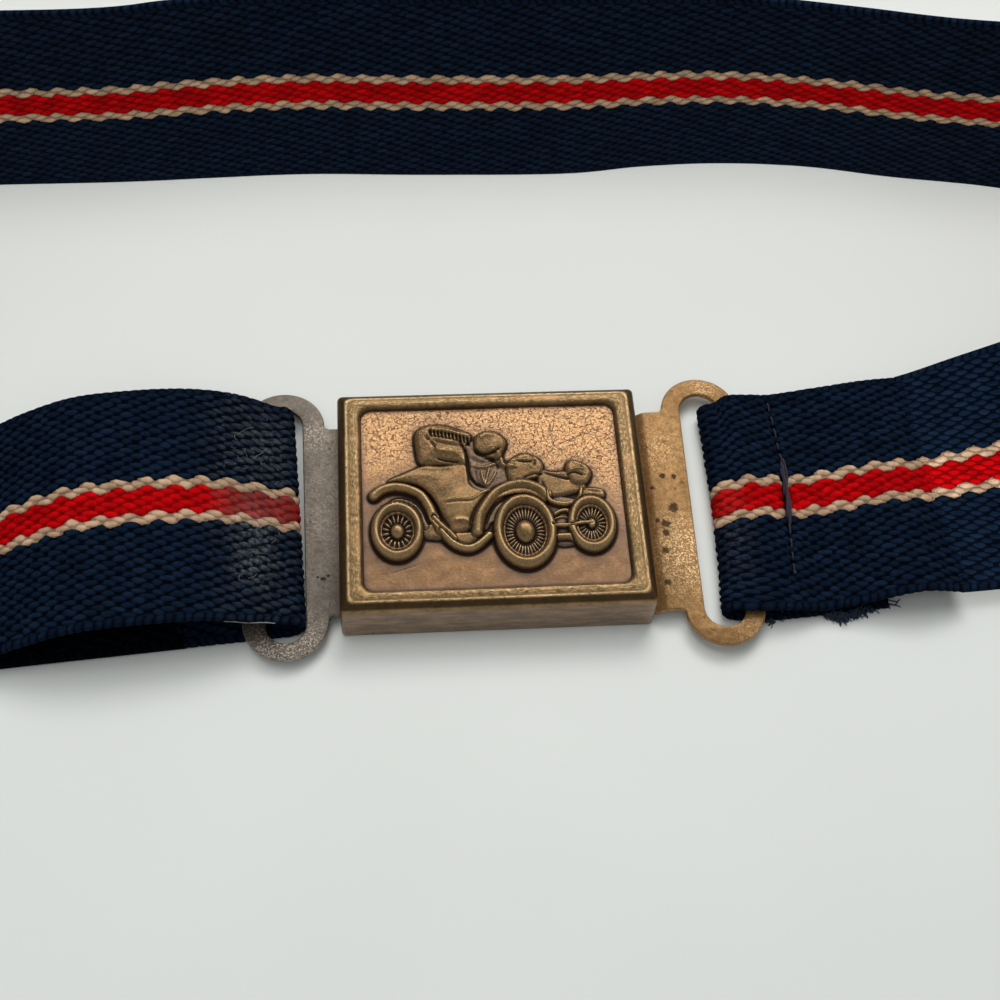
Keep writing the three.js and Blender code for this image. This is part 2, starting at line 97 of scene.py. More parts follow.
def smoothstep(edge0, edge1, x):
    t = np.clip((x - edge0) / (edge1 - edge0), 0, 1)
    return t * t * (3 - 2 * t)


def bell(x, reach):
    return np.exp(-(x / reach) ** 2)


def tube(points, radius, sides=5, ends=0.5):
    """Points and faces of a round thread along a line; ends: share of the radius left at its two ends."""
    points = np.asarray(points, dtype=float)
    along = np.gradient(points, axis=0)
    along /= np.linalg.norm(along, axis=1, keepdims=True) + 1e-9
    side = np.cross(along, [0.31, 0.17, 0.93])
    side /= np.linalg.norm(side, axis=1, keepdims=True) + 1e-9
    up = np.cross(side, along)
    count = len(points)
    taper = np.ones(count) * radius
    taper[0] *= ends
    taper[-1] *= ends
    angle = np.linspace(0, 2 * np.pi, sides, endpoint=False)
    ring = (side[:, None] * np.cos(angle)[None, :, None] + up[:, None] * np.sin(angle)[None, :, None])
    body = points[:, None] + ring * taper[:, None, None]
    faces = grid_faces(count, sides, wrap=True)
    faces.append(list(range(sides))[::-1])
    faces.append([(count - 1) * sides + k for k in range(sides)])
    return body.reshape(-1, 3), faces


def merged(parts):
    points, faces, base = [], [], 0
    for p, f in parts:
        points.append(p)
        faces += [[i + base for i in face] for face in f]
        base += len(p)
    return np.concatenate(points), faces


def waves(x, y, seed, scale):
    """Soft irregular waves, about -1 to 1."""
    local = np.random.default_rng(seed)
    total = np.zeros_like(x)
    for _ in range(7):
        angle = local.uniform(0, 2 * np.pi)
        k = local.uniform(0.5, 1.6) / scale
        total += np.sin(k * (x * np.cos(angle) + y * np.sin(angle)) + local.uniform(0, 6.28))
    return total / 3.2


# shader helpers

class Value:
    """What varies over a surface; numbers among them work in formulas like plain numbers."""

    def __init__(self, shader, socket):
        self.shader = shader
        self.socket = socket

    def __add__(self, other):
        return self.shader.math("ADD", self, other)

    def __sub__(self, other):
        return self.shader.math("SUBTRACT", self, other)

    def __rsub__(self, other):
        return self.shader.math("SUBTRACT", other, self)

    def __mul__(self, other):
        return self.shader.math("MULTIPLY", self, other)

    def __truediv__(self, other):
        return self.shader.math("DIVIDE", self, other)

    def __gt__(self, other):
        return self.shader.math("GREATER_THAN", self, other)

    def __lt__(self, other):
        return self.shader.math("LESS_THAN", self, other)

    def __abs__(self):
        return self.shader.math("ABSOLUTE", self)

    __radd__ = __add__
    __rmul__ = __mul__


class Shader:
    def __init__(self, name):
        self.material = bpy.data.materials.new(name)
        self.material.use_nodes = True
        self.tree = self.material.node_tree
        self.shader = self.tree.nodes["Principled BSDF"]

    def link(self, source, target):
        if isinstance(source, Value):
            self.tree.links.new(source.socket, target)
        else:
            target.default_value = source

    def node(self, kind, output, inputs, **settings):
        """A new node's output; inputs are pairs of a socket's name or number and what goes into it."""
        node = self.tree.nodes.new("ShaderNode" + kind)
        for key, value in settings.items():
            setattr(node, key, value)
        for key, value in inputs:
            self.link(value, node.inputs[key])
        return Value(self, node.outputs[output])

    def math(self, operation, a, b=0.0, clamp=False):
        return self.node("Math", 0, ((0, a), (1, b)), operation=operation, use_clamp=clamp)

    def larger(self, a, b):
        return self.math("MAXIMUM", a, b)

    def smaller(self, a, b):
        return self.math("MINIMUM", a, b)

    def clamped(self, value):
        return self.math("ADD", value, 0.0, clamp=True)

    def whole(self, value):
        return self.math("ROUND", value)

    def sign(self, value):
        return self.math("SIGN", value)

    def ramp(self, value, low, high, to_low=0.0, to_high=1.0):
        inputs = (("Value", value), ("From Min", low), ("From Max", high), ("To Min", to_low),
                  ("To Max", to_high))
        return self.node("MapRange", "Result", inputs, interpolation_type="SMOOTHSTEP")

    def mix(self, share, a, b, blend="MIX"):
        a, b = (colour if isinstance(colour, Value) else (*colour, 1.0) for colour in (a, b))
        return self.node("Mix", 2, ((0, share), (6, a), (7, b)), data_type="RGBA", blend_type=blend)

    def attribute(self, name):
        return self.node("Attribute", "Vector", (), attribute_name=name)

    def split(self, vector):
        outputs = self.node("SeparateXYZ", 0, ((0, vector),)).socket.node.outputs
        return [Value(self, socket) for socket in outputs]

    def join(self, x, y, z=0.0):
        return self.node("CombineXYZ", 0, ((0, x), (1, y), (2, z)))

    def place(self):
        """The point on the piece in its own space, in millimetres."""
        return self.node("VectorMath", 0, ((0, self.node("TexCoord", "Object", ())), ("Scale", 1000.0)),
                         operation="SCALE")

    def noise(self, vector, scale, detail=3.0, rough=0.55, stretch=None):
        if stretch:
            vector = self.node("VectorMath", 0, ((0, vector), (1, stretch)), operation="MULTIPLY")
        inputs = (("Vector", vector), ("Scale", scale), ("Detail", detail), ("Roughness", rough))
        return self.node("TexNoise", "Fac", inputs)

    def cells(self, vector, scale):
        """Distance to the nearest border between cells."""
        return self.node("TexVoronoi", "Distance", (("Vector", vector), ("Scale", scale)),
                         feature="DISTANCE_TO_EDGE")

    def chance(self, vector):
        return self.node("TexWhiteNoise", "Value", (("Vector", vector),))

    def bump(self, height, distance, strength=1.0, normal=None):
        inputs = [("Strength", strength), ("Distance", distance / 1000), ("Height", height)]
        if normal is not None:
            inputs.append(("Normal", normal))
        return self.node("Bump", "Normal", inputs)

    def finish(self, colour, roughness, normal, metallic=0.0, **others):
        self.link(colour, self.shader.inputs["Base Color"])
        self.link(roughness, self.shader.inputs["Roughness"])
        self.link(metallic, self.shader.inputs["Metallic"])
        self.link(normal, self.shader.inputs["Normal"])
        for key, value in others.items():
            self.link(value, self.shader.inputs[key.replace("_", " ")])
        return self.material


# weave: grains of yarn in a twill, each row a third of the pitch further along than the one below

GRAIN = {"pitch": 3.39, "row": 0.433, "steps": 3, "long": 0.92, "wide": 0.43, "slant": 0.17, "cream": 0.94,
         "above": 0.04}
EDGE_YARN = {"from": 14.9, "middle": 15.6, "long": 1.05, "wide": 0.55, "slant": -0.38, "blend": 0.5}
STRIPE = {"red": 4, "cream": 7}
CREASE = 0.3


def grains(s, v, whole, larger, smaller):
    """Heights of the highest and the second grain at s along the strap and v across it, and the highest one's
    row and column; for arrays with NumPy's functions, or for shader values with the shader's.
    """
    pitch, steps = GRAIN["pitch"], GRAIN["steps"]
    across = GRAIN["row"] * steps
    best, second, row, column = -9.0, -9.0, 0.0, 0.0
    for step in range(steps):
        along = s + step * pitch / steps
        place = whole(along / pitch)
        ds = along - place * pitch
        up = v - (step + 0.5) * GRAIN["row"]
        group = whole(up / across)
        dv = up - group * across
        number = group * float(steps) + (step + 0.5)
        cream = (abs(number) > STRIPE["red"]) * (abs(number) < STRIPE["cream"])
        size = cream * (GRAIN["cream"] - 1) + 1.0
        long = (dv * GRAIN["slant"] + ds) / (size * GRAIN["long"])
        wide = (dv - ds * GRAIN["slant"]) / (size * GRAIN["wide"])
        height = cream * GRAIN["above"] + 1.0 - long * long - wide * wide
        second = larger(second, smaller(best, height))
        higher = height > best
        row = number * higher + row * (1.0 - higher)
        column = place * higher + column * (1.0 - higher)
        best = larger(height, best)
    return best, second, row, column


def edge_ribs(s, v, whole, sign):
    """Height and number of the nearest rib of the edge, and how far in the edge v is."""
    pitch = GRAIN["pitch"] / GRAIN["steps"]
    off = abs(v) - EDGE_YARN["middle"]
    along = s - sign(v) * off * EDGE_YARN["slant"]
    rib = whole(along / pitch)
    a = (along - rib * pitch) / EDGE_YARN["wide"]
    b = off / EDGE_YARN["long"]
    return 1.0 - a * a - b * b, rib, (abs(v) - EDGE_YARN["from"]) / EDGE_YARN["blend"]


def weave(s, v):
    """Height of the yarn, 0 to 1, at s along the strap and v across it."""
    best, second, row, column = grains(s, v, np.round, np.maximum, np.minimum)
    step = np.mod(row - 0.5, GRAIN["steps"])
    grain_at = (column - step / GRAIN["steps"]) * GRAIN["pitch"]
    lively = np.modf(np.abs(np.sin(grain_at * 12.9 + np.round(row * 2) * 39.1)) * 437.5)[0]
    crease = np.clip((best - second) / CREASE, 0, 1)
    inner = np.sqrt(np.maximum(best, 0)) * (0.72 + 0.28 * crease) * (0.80 + 0.32 * lively)
    edge, _, share = edge_ribs(s, v, np.round, np.sign)
    share = np.clip(share, 0, 1)
    return np.maximum(inner * (1 - share), np.sqrt(np.maximum(edge, 0)) * 0.55 * share)


def weave_nodes(n, s, v):
    """The same in shader nodes: height, row number and a chance value for each grain."""
    best, second, row, column = grains(s, v, n.whole, n.larger, n.smaller)
    crease = n.clamped((best - second) / CREASE)
    edge, rib, share = edge_ribs(s, v, n.whole, n.sign)
    share = n.clamped(share)
    height = n.larger(n.larger(best, 0.0) * (crease * 0.55 + 0.45) * (1.0 - share), edge * 0.45 * share)
    chance = n.chance(n.join(row, column + rib * share, 0.5))
    return n.math("SQRT", n.larger(height, 0.0)), row, chance


def clean_yarn(n, place, fibre, chance, red, cream):
    shade = chance * 0.45 + fibre * 0.55
    navy = n.mix(shade, (0.0010, 0.0038, 0.0110), (0.0066, 0.0162, 0.0360))
    navy = n.mix(n.ramp(n.noise(place, 0.22, 2.0), 0.45, 0.8, 0.0, 0.5), navy, (0.0034, 0.0068, 0.0130))
    red_yarn = n.mix(shade, (0.23, 0.0006, 0.0014), (0.56, 0.0018, 0.0034))
    cream_yarn = n.mix(shade, (0.28, 0.180, 0.108), (0.56, 0.370, 0.240))
    worn_red = n.mix(shade, (0.10, 0.010, 0.009), (0.28, 0.045, 0.032))
    return n.mix(cream, n.mix(red, navy, red_yarn), cream_yarn), worn_red


def webbing(name, relief_by_bump, shadow=0.14, light=1.0):
    """Woven yarn; shadow: how dark the painted shade in the gaps between grains is, light: a factor on the
    whole colour, painted light above 1 and painted shade below 1.
    """
    n = Shader(name)
    s, v, _ = n.split(n.attribute("weave"))
    dust, fade, lint_or_furrow_shade = n.split(n.attribute("wear_and_furrow_shade"))
    height, row, chance = weave_nodes(n, s, v)
    place = n.place()
    fibre = n.noise(place, 5.0, 4.0, 0.7)
    red = abs(row) < STRIPE["red"]
    cream = (abs(row) < STRIPE["cream"]) * (1.0 - red)
    colour, worn_red = clean_yarn(n, place, fibre, chance, red, cream)
    colour = n.mix(fade * red * n.ramp(fibre, 0.25, 0.7), colour, worn_red)
    grey = n.mix(fibre, (0.014, 0.020, 0.026), (0.060, 0.064, 0.060))
    speck = n.ramp(n.noise(place, 0.9, 5.0, 0.65), 0.35, 0.72)
    colour = n.mix(dust * (1.0 - cream * 0.75) * speck * n.ramp(height, 0.3, 1.0), colour, grey)
    fluff = n.ramp(n.noise(place, 1.9, 6.0, 0.72), 0.40, 0.74)
    colour = n.mix(n.larger(lint_or_furrow_shade, 0.0) * fluff, colour, (0.15, 0.16, 0.155))
    # Painted shade: the colour darkens in the gaps between grains, least in the red and cream rows; light
    # then scales the whole, painted light above 1, painted shade below 1.
    depth = n.ramp(height, 0.10, 0.92, (red + cream) * 0.36 + shadow, 1.12)
    depth = depth * n.ramp(n.noise(place, 0.8, 3.0, 0.6), 0.30, 0.70, 0.80, 1.16) * light
    # Painted shade: the yarn darkens where the third channel is below 0, along a seam's furrow.
    depth = depth * (1.0 - n.clamped(lint_or_furrow_shade * -1.0) * 0.93)
    colour = n.mix(1.0, colour, n.join(depth, depth, depth), "MULTIPLY")
    fine = n.bump(n.noise(place, 5.0, 4.0, 0.75, stretch=(0.6, 1.0, 1.0)), 0.10, 0.8)
    normal = n.bump(height, 0.26, 1.0, fine) if relief_by_bump else fine
    return n.finish(colour, 0.9, normal, Specular_IOR_Level=0.04)


# the strap's route, section by section

STRAP = {"width": 32.0, "pinched": 31.0, "thickness": 1.2}
WAIST = {"left": 122.0, "right": 118.0, "depth": 59.0, "skew": 4.5}
LEFT = {"fold_height": 4.2, "hump": 7.7, "stretch": 0.6, "seam": 66.0, "tail": 5.0, "middle": 0.8,
        "turn": 3.0}
RIGHT = {"fold": 30.4, "fold_height": 2.9, "seam": 39.5, "tail": 8.3, "middle": 0.2, "turn": -1.2}
LYING = STRAP["thickness"] / 2
SLOPE = math.tan(math.radians(WAIST["skew"]))
TURN_LEFT = 90 + WAIST["skew"]
TURN_RIGHT = TURN_LEFT - 360
SEAM_LIFT = 1.4
SLOT_GAP = 0.3
# share of the way from fold to seam, share of the hump's height
HUMP = ((0.11, 0.67), (0.26, 0.92), (0.45, 1.0), (0.62, 0.95), (0.78, 0.66), (0.9, 0.34), (1.0, 0.19))
# share of the reach beyond the seam, share of the loop's depth, tilt, lift as a share of the width
TO_LEFT = ((0.16, -0.05, 6, 0.05), (0.34, -0.035, 26, 0), (0.56, 0.04, 53, 0), (0.79, 0.18, 76, 0),
           (0.95, 0.37, 88, 0), (1.0, 0.58, 90, 0), (0.87, 0.8, 90, 0), (0.6, 0.935, 90, 0),
           (0.28, 0.98, 89, 0))
BACK = ((-0.41, 0.989, 89), (-0.31, 1.006, 91), (-0.19, 1.018, 92), (-0.05, 1.009, 92), (0.12, 1.005, 92),
        (0.22, 1.015, 90), (0.32, 1.012, 88))
TO_RIGHT = ((0.14, 0.987, 86, 0), (0.3, 0.948, 86, 0), (0.52, 0.905, 87, 0), (0.74, 0.82, 89, 0),
            (0.92, 0.68, 90, 0), (1.0, 0.5, 89, 0), (0.94, 0.32, 84, 0), (0.8, 0.175, 72, 0),
            (0.62, 0.1, 50, 0), (0.44, 0.06, 24, 0.01), (0.29, 0.04, 6, 0.08), (0.17, 0.028, -2, 0.1),
            (0.08, 0.022, -1, 0.07))


def fold_rows(centre, side, height, middle, turn):
    """Rows round a fold, from the table up; side: which way it bulges."""
    radius = height / 2
    pinch = (STRAP["width"] - STRAP["pinched"]) / 2
    rows = []
    for step in range(7):
        angle = math.pi * (step / 6 - 0.5)
        x = centre + side * radius * math.cos(angle)
        rows.append([x, middle - pinch + SLOPE * (x - centre), STRAP["pinched"], 0,
                     radius * (1 + math.sin(angle)), turn])
    return rows


def left_rows():
    """Rows from the left tail's end round the fold to the left seam, and the numbers of fold and seam."""
    rows, marks = [], {}
    radius = (LEFT["fold_height"] - LYING) / 2
    swing = STRAP["pinched"] / 2 * math.sin(math.radians(LEFT["turn"]))
    slot_swing = HOOK["slot_ears"] * math.sin(math.radians(-HOOK["askew"]))
    front = HOOK["at"] + HOOK["slot"] / 2 + slot_swing - SLOT_GAP - swing - LYING
    fold_at = front - radius
    seam = -LEFT["seam"]
    run = seam - fold_at
    width = STRAP["width"]
    for along in (1 - LEFT["tail"] / run, 1, 0.75, 0.5, 0.25, 0.1):
        x = fold_at + run * along
        rows.append([x, LEFT["middle"] + SLOPE * (x - fold_at), width, 0, 0, TURN_LEFT])
    marks["left_fold"] = len(rows) + 3
    rows += fold_rows(fold_at, 1, 2 * radius, LEFT["middle"], 90 + LEFT["turn"])
    for along, rise in HUMP:
        x = fold_at + run * along
        lift = rise * LEFT["hump"] if along < 1 else SEAM_LIFT
        y = LEFT["middle"] + SLOPE * (x - fold_at) + rise * LEFT["stretch"] / 2
        rows.append([x, y, width + rise * LEFT["stretch"], 0, lift, TURN_LEFT])
    marks["left_seam"] = len(rows) - 1
    return rows, marks


def waist_rows():
    """Rows from the left seam round the waist to the right seam; their turn follows from the route."""
    rows = []
    width, depth = STRAP["width"], WAIST["depth"]
    for out, across, tilt, lift in TO_LEFT:
        x = -LEFT["seam"] - out * (WAIST["left"] - LEFT["seam"])
        rows.append([x, across * depth, width, tilt, lift * width, None])
    for x, across, tilt in BACK:
        reach = WAIST["left"] if x < 0 else WAIST["right"]
        rows.append([x * reach, across * depth, width, tilt, 0, None])
    for out, across, tilt, lift in TO_RIGHT:
        x = RIGHT["seam"] + out * (WAIST["right"] - RIGHT["seam"])
        rows.append([x, across * depth, width, tilt, lift * width, None])
    return rows


def right_row(x, lift):
    return [x, RIGHT["middle"] + SLOPE * (x - RIGHT["fold"]), STRAP["width"], 0, lift, TURN_RIGHT]


def right_rows():
    """Rows from the right seam round the fold to the right tail's end."""
    height, fold, seam = RIGHT["fold_height"], RIGHT["fold"], RIGHT["seam"]
    third, two_thirds = fold + 0.33 * (seam - fold), fold + 0.66 * (seam - fold)
    rows = [right_row(seam, SEAM_LIFT), right_row(two_thirds, 0.75 * height), right_row(third, 0.98 * height)]
    rows += fold_rows(fold, -1, height, RIGHT["middle"], 90 + RIGHT["turn"] - 360)[::-1]
    return rows + [right_row(x, 0) for x in (third, two_thirds, seam, seam + RIGHT["tail"])]


def strap_rows():
    """Rows of x, y, width, tilt, lift and turn, and the numbers of the rows at the folds and seams."""
    rows, marks = left_rows()
    rows += waist_rows()
    marks["right_seam"] = len(rows)
    marks["right_fold"] = len(rows) + 6
    rows += right_rows()
    last = TURN_LEFT
    for i, row in enumerate(rows):
        if row[5] is None:
            heading = math.atan2(rows[i + 1][1] - rows[i - 1][1], rows[i + 1][0] - rows[i - 1][0])
            turn = math.degrees(heading) - 90
            while turn > last + 180:
                turn -= 360
            while turn < last - 180:
                turn += 360
            row[5] = turn
        last = row[5]
    return np.array(rows, dtype=float), marks


def smooth_rows(rows, steps):
    """Uniform Catmull-Rom samples through the rows, steps to each."""
    padded = np.vstack([2 * rows[0] - rows[1], rows, 2 * rows[-1] - rows[-2]])
    t = (np.arange(steps) / steps)[:, None]
    samples = []
    for i in range(len(rows) - 1):
        a, b, c, d = padded[i:i + 4]
        samples.append(0.5 * (2 * b + (c - a) * t + (2 * a - 5 * b + 4 * c - d) * t ** 2
                              + (3 * b - a - 3 * c + d) * t ** 3))
    return np.vstack(samples + [rows[-1:]])


class Route:
    """The strap's middle line and the way it faces, at any distance along it."""

    def __init__(self):
        rows, marks = strap_rows()
        steps = 24
        dense = smooth_rows(rows, steps)
        tilt = np.radians(dense[:, 3])
        half = dense[:, 2] / 2
        height = half * np.abs(np.sin(tilt)) + LYING * np.abs(np.cos(tilt)) + np.maximum(dense[:, 4], 0)
        self.table = np.column_stack([dense[:, :2], height, dense[:, 2:4], dense[:, 5]])
        step = np.linalg.norm(np.diff(self.table[:, :3], axis=0), axis=1)
        self.s = np.concatenate([[0], np.cumsum(step)])
        self.at = {name: self.s[index * steps] for name, index in marks.items()}
        self.length = self.s[-1]

    def sample(self, s):
        columns = [np.interp(s, self.s, self.table[:, k]) for k in range(6)]
        middle = np.column_stack(columns[:3])
        along = np.gradient(middle, axis=0)
        along /= np.linalg.norm(along, axis=1, keepdims=True)
        tilt = np.radians(columns[4])[:, None]
        turn = np.radians(columns[5])
        inward = np.column_stack([np.cos(turn), np.sin(turn), np.zeros_like(turn)])
        face = np.cross(inward, along)
        face /= np.linalg.norm(face, axis=1, keepdims=True)
        across = inward * np.cos(tilt) + face * np.sin(tilt)
        normal = face * np.cos(tilt) - inward * np.sin(tilt)
        return middle, across, normal, columns[3] / 2


route = Route()
S_LEFT, S_RIGHT = route.at["left_fold"], route.at["right_fold"]
# Offset of the weave along the strap at its left and right end
PHASE = (-1.47, -0.97)


# radius of the strap's edges, and of a strap without displaced grains; faces: 1 outer, 0 edge, -1 inner
EDGE = 0.38
EDGE_FILLED = 0.52


def section(fine, back):
    """Points round the strap's section: place across, outward direction across and up, and face."""
    flat = 1 - EDGE / 16.0
    outer = np.linspace(-flat, flat, int(round(32 * flat / fine)) + 1)
    inner = np.linspace(flat, -flat, int(round(32 * flat / back)) + 1)
    angle = np.radians(np.linspace(90, -90, 9)[1:-1])
    rows = [(u, 0.0, 1.0, 1.0) for u in outer]
    rows += [(flat, math.cos(a), math.sin(a), 0.0) for a in angle]
    rows += [(u, 0.0, -1.0, -1.0) for u in inner]
    rows += [(-flat, -math.cos(a), math.sin(a), 0.0) for a in angle[::-1]]
    return np.array(rows).T


def weave_place(s, v, half, around):
    """Where each point lies in the weave, which wanders a little along and across the strap."""
    along = s + PHASE[0] + (PHASE[1] - PHASE[0]) * smoothstep(S_LEFT + 80, S_RIGHT - 80, s)
    along = along + 0.16 * np.sin(0.11 * s + 0.4) * np.cos(0.19 * v) + 0.10 * np.sin(0.37 * v + 0.05 * s)
    along = along + 0.09 * np.sin(2.1 * s + 1.3 * v) * np.sin(1.7 * v - 0.6 * s)
    along = along + 0.17 * waves(s, v, 21, 0.36)
    across = v * 16 / half + around
    across = across + 0.035 * np.sin(1.9 * s - 0.8 * v) * (np.abs(v) < 14) + 0.085 * waves(s, v, 22, 0.36)
    return along, across


def strap_piece(name, start, end, step, fine, back, material, wear_and_furrow_shade=None, dip=None, nudge=None):
    """A length of strap; its grains are displaced where it is given its own marks (dust, fading, lint, and
    painted shade in a seam's furrow), dip and nudge.
    """
    line = np.linspace(start, end, int(round((end - start) / step)) + 1)
    middle, across, normal, half = (values[:, None] for values in route.sample(line))
    u, side, up, face = section(fine, back)
    v = u * half
    s = line[:, None] + 0 * v
    face = face + 0 * v
    around = np.where(face == 0, np.sign(u) * (1 - up) * 0.25 * np.pi * EDGE, 0.0)
    weave_s, weave_v = weave_place(s, v, half, around)
    out = np.full_like(v, EDGE_FILLED)
    worn = np.zeros((*v.shape, 3))
    if wear_and_furrow_shade is not None:
        grain = weave(weave_s, weave_v) * np.where(face == 0, 0.20, 0.31) - np.where(face == 0, 0.0, 0.08)
        out = EDGE + grain + dip(s, v, face)
        # The marks' third channel holds lint above 0 and painted shade in a seam's furrow below 0.
        worn = wear_and_furrow_shade(s, v, face)
    points = middle + across * (v + side * out)[..., None] + normal * (up * out)[..., None]
    if nudge is not None:
        points = points + nudge(s, v)
    points[..., 2] = np.maximum(points[..., 2], 0.02)
    place = np.stack([weave_s, weave_v, face], -1)
    obj = add_object(name, points.reshape(-1, 3), grid_faces(len(line), len(u), wrap=True), material,
                     {"weave": place.reshape(-1, 3), "wear_and_furrow_shade": worn.reshape(-1, 3)})
    obj.data.flip_normals()
    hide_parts("strap")
    return obj


def spot(s, v, at, size):
    return bell(s - at[0], size[0]) * bell(v - at[1], size[1])


def wear_left(s, v, face):
    """Dust, faded red, and lint (above 0) or the painted shade of a seam's furrow (below 0)."""
    past = s - S_LEFT
    upper = (face >= 0) * smoothstep(-1.5, 1.5, past) * (1 - smoothstep(8, 14, past))
    dust = upper * (0.45 + 0.9 * spot(past, v, (7, 7), (5, 7)) + 0.5 * spot(past, v, (6, -8), (5, 6)))
    fade = (face >= 0) * smoothstep(-0.5, 2.0, past) * (1 - smoothstep(7.5, 12.0, past)) * 1.3
    lint = (0.95 * spot(past, v, (6.3, -4.0), (2.0, 3.2)) + 0.75 * spot(past, v, (6.6, -9), (2.3, 2.6))
            + 0.45 * spot(past, v, (4, 9), (2.5, 4)))
    return np.stack([dust, fade, (face > 0) * lint], -1)


def wear_and_furrow_shade_right(s, v, face):
    past = S_RIGHT - s
    upper = (face >= 0) * smoothstep(-2, 1.0, past) * (1 - smoothstep(2.5, 6, past))
    dust = upper * 0.12 * spot(past, v, (3, -8), (3, 7))
    fade = upper * 0.25
    lint = (face > 0) * 0.25 * spot(past, v, (2.5, -6), (1.5, 5))
    line = (face > 0) * smoothstep(-12.0, -11.0, v) * (1 - smoothstep(14.8, 15.8, v))
    reach = 0.22 + 0.46 * bell(v, 3.8)
    # Painted shade: the yarn is darkened along the seam's furrow, returned below 0.
    furrow = line * bell(s - right_seam(v), reach) * (0.75 + 0.25 * bell(v, 5))
    return np.stack([dust, fade, lint - furrow], -1)


# place across the strap, distance along it from the seam's row
SEAM_LINE = ((-11.3, 3.5), (-3.6, 2.2), (5.0, 0.8), (14.5, 0.5))


def right_seam(v):
    across, along = zip(*SEAM_LINE)
    return route.at["right_seam"] + np.interp(v, across, along)


def dip_right(s, v, face):
    """The seam's furrow, deepest across the stripe, with a small ridge on both sides."""
    off = s - right_seam(v)
    along = smoothstep(-12.4, -10.8, v) * (1 - smoothstep(14.8, 15.8, v))
    stripe = bell(v, 3.6)
    furrow = (0.30 + 0.42 * stripe) * bell(off, 0.36 + 0.14 * stripe)
    return (face > 0) * along * (0.07 * bell(np.abs(off) - 1.0, 0.5) - furrow)


def nudge_left(s, v):
    """The fold sits a little nearer to the plate than the straight route puts it."""
    return np.stack([0.47 * bell(s - S_LEFT, 6), 0 * v, 0 * v], -1)


def nudge_right(s, v):
    """The fold's ends bend towards the plate and its far corner is pulled in."""
    past = S_RIGHT - s
    to_plate = -(0.2 + 0.35 * (v / 14) ** 2) * bell(past, 5)
    inward = 0.9 * smoothstep(9, 16, -v) * bell(past, 3.5) - 0.5 * smoothstep(8, 16, v) * bell(past - 4, 4.5)
    return np.stack([to_plate, inward, 0 * v], -1)


def dip_left(s, v, face):
    off = s - route.at["left_seam"]
    return (face > 0) * (-0.3) * bell(off, 0.42) * (1 - smoothstep(14, 15.5, np.abs(v)))


close_webbing = webbing("webbing_close", relief_by_bump=False)
# The far strap's copy has painted light: its colour is raised 1.42 times.
lit_far_webbing = webbing("webbing", relief_by_bump=True, shadow=0.20, light=1.42)
# The tail's copy underneath has painted shade: its colour is lowered to 0.3 of the rest.
shaded_under_webbing = webbing("webbing_underneath_shaded", relief_by_bump=True, light=0.3)
# size of a mesh face on the two straps beside the buckle
CLOSE = 0.19
LEFT_FROM, LEFT_TO = S_LEFT - 16, route.at["left_seam"] + 5
RIGHT_FROM, RIGHT_TO = route.at["right_seam"] - 18, route.length
OVERLAP = 0.8
strap_piece("strap_left", LEFT_FROM, LEFT_TO, CLOSE, CLOSE - 0.02, 0.7, close_webbing,
            wear_left, dip_left, nudge_left)
strap_piece("strap_right", RIGHT_FROM, RIGHT_TO, CLOSE, CLOSE - 0.02, 0.7, close_webbing,
            wear_and_furrow_shade_right, dip_right, nudge_right)
strap_piece("strap_left_tail", 0.0, LEFT_FROM + OVERLAP, 0.7, 0.8, 0.8, shaded_under_webbing)
waist = strap_piece("strap_waist", LEFT_TO - OVERLAP, RIGHT_FROM + OVERLAP, 0.7, 0.8, 0.8, lit_far_webbing)


# buckle cover, rim and walls

RIM_PROFILE = ((0.0, 1.9), (0.02, 1.3), (0.06, 0.95), (0.13, 0.66), (0.22, 0.36), (0.31, 0.12), (0.38, 0.03),
               (0.46, 0.11), (0.55, 0.05), (0.7, 0.0), (0.82, 0.05), (0.9, 0.18), (0.95, 0.5), (0.985, 0.92),
               (1.0, 1.0))


def rounded_rectangle(half_x, half_y, radius, straight=(110, 88), corner=10):
    """Points round a rectangle; straight: steps on its long and short sides, corner: on each corner."""
    corners = []
    for quarter, (sx, sy) in enumerate(((1, 1), (-1, 1), (-1, -1), (1, -1))):
        angle = (quarter + np.arange(corner + 1) / corner) * math.pi / 2
        corners.append(np.column_stack([sx * (half_x - radius) + radius * np.cos(angle),
                                        sy * (half_y - radius) + radius * np.sin(angle)]))
    points = []
    for quarter in range(4):
        start, end = corners[quarter][-1], corners[(quarter + 1) % 4][0]
        count = straight[quarter % 2]
        along = (np.arange(1, count) / count)[:, None]
        points += [corners[quarter], start + (end - start) * along]
    return np.vstack(points)


def softened(values):
    kernel = np.array([1, 2, 3, 2, 1]) / 9
    return np.concatenate([values[:2], np.convolve(values, kernel, "valid"), values[-2:]])


def smooth_profile():
    """The rim's profile in 60 even steps with its corners rounded."""
    across, down = np.array(RIM_PROFILE).T
    step = np.hypot(np.diff(across) * 2.6, np.diff(down) * 0.62)
    length = np.concatenate([[0], np.cumsum(step)])
    fine = np.linspace(0, length[-1], 60)
    return [softened(softened(np.interp(fine, length, values))) for values in (across, down)]


def rim_rings():
    """Insets along and across, corner radius, height and share across the rim, from the table up."""
    across, down = smooth_profile()
    wall_top = COVER["height"] - down[0] * RIM["depth"]
    wall = [(0.48, 0.0), (0.3, 0.03), (0.15, 0.12), (0.05, 0.28), (0.0, 0.5)]
    wall += [(0, z) for z in (1.2, 2.0, 2.8, 3.6, 4.4, 5.2, (5.2 + wall_top) / 2)]
    rings = [(inset, inset, COVER["corner"], z, -1.0) for inset, z in wall]
    for a, d in zip(across, down):
        corner = COVER["corner"] + a * (RIM["panel_corner"] - COVER["corner"])
        rings.append((a * RIM["at_ends"], a * RIM["at_sides"], corner, COVER["height"] - d * RIM["depth"], a))
    return rings


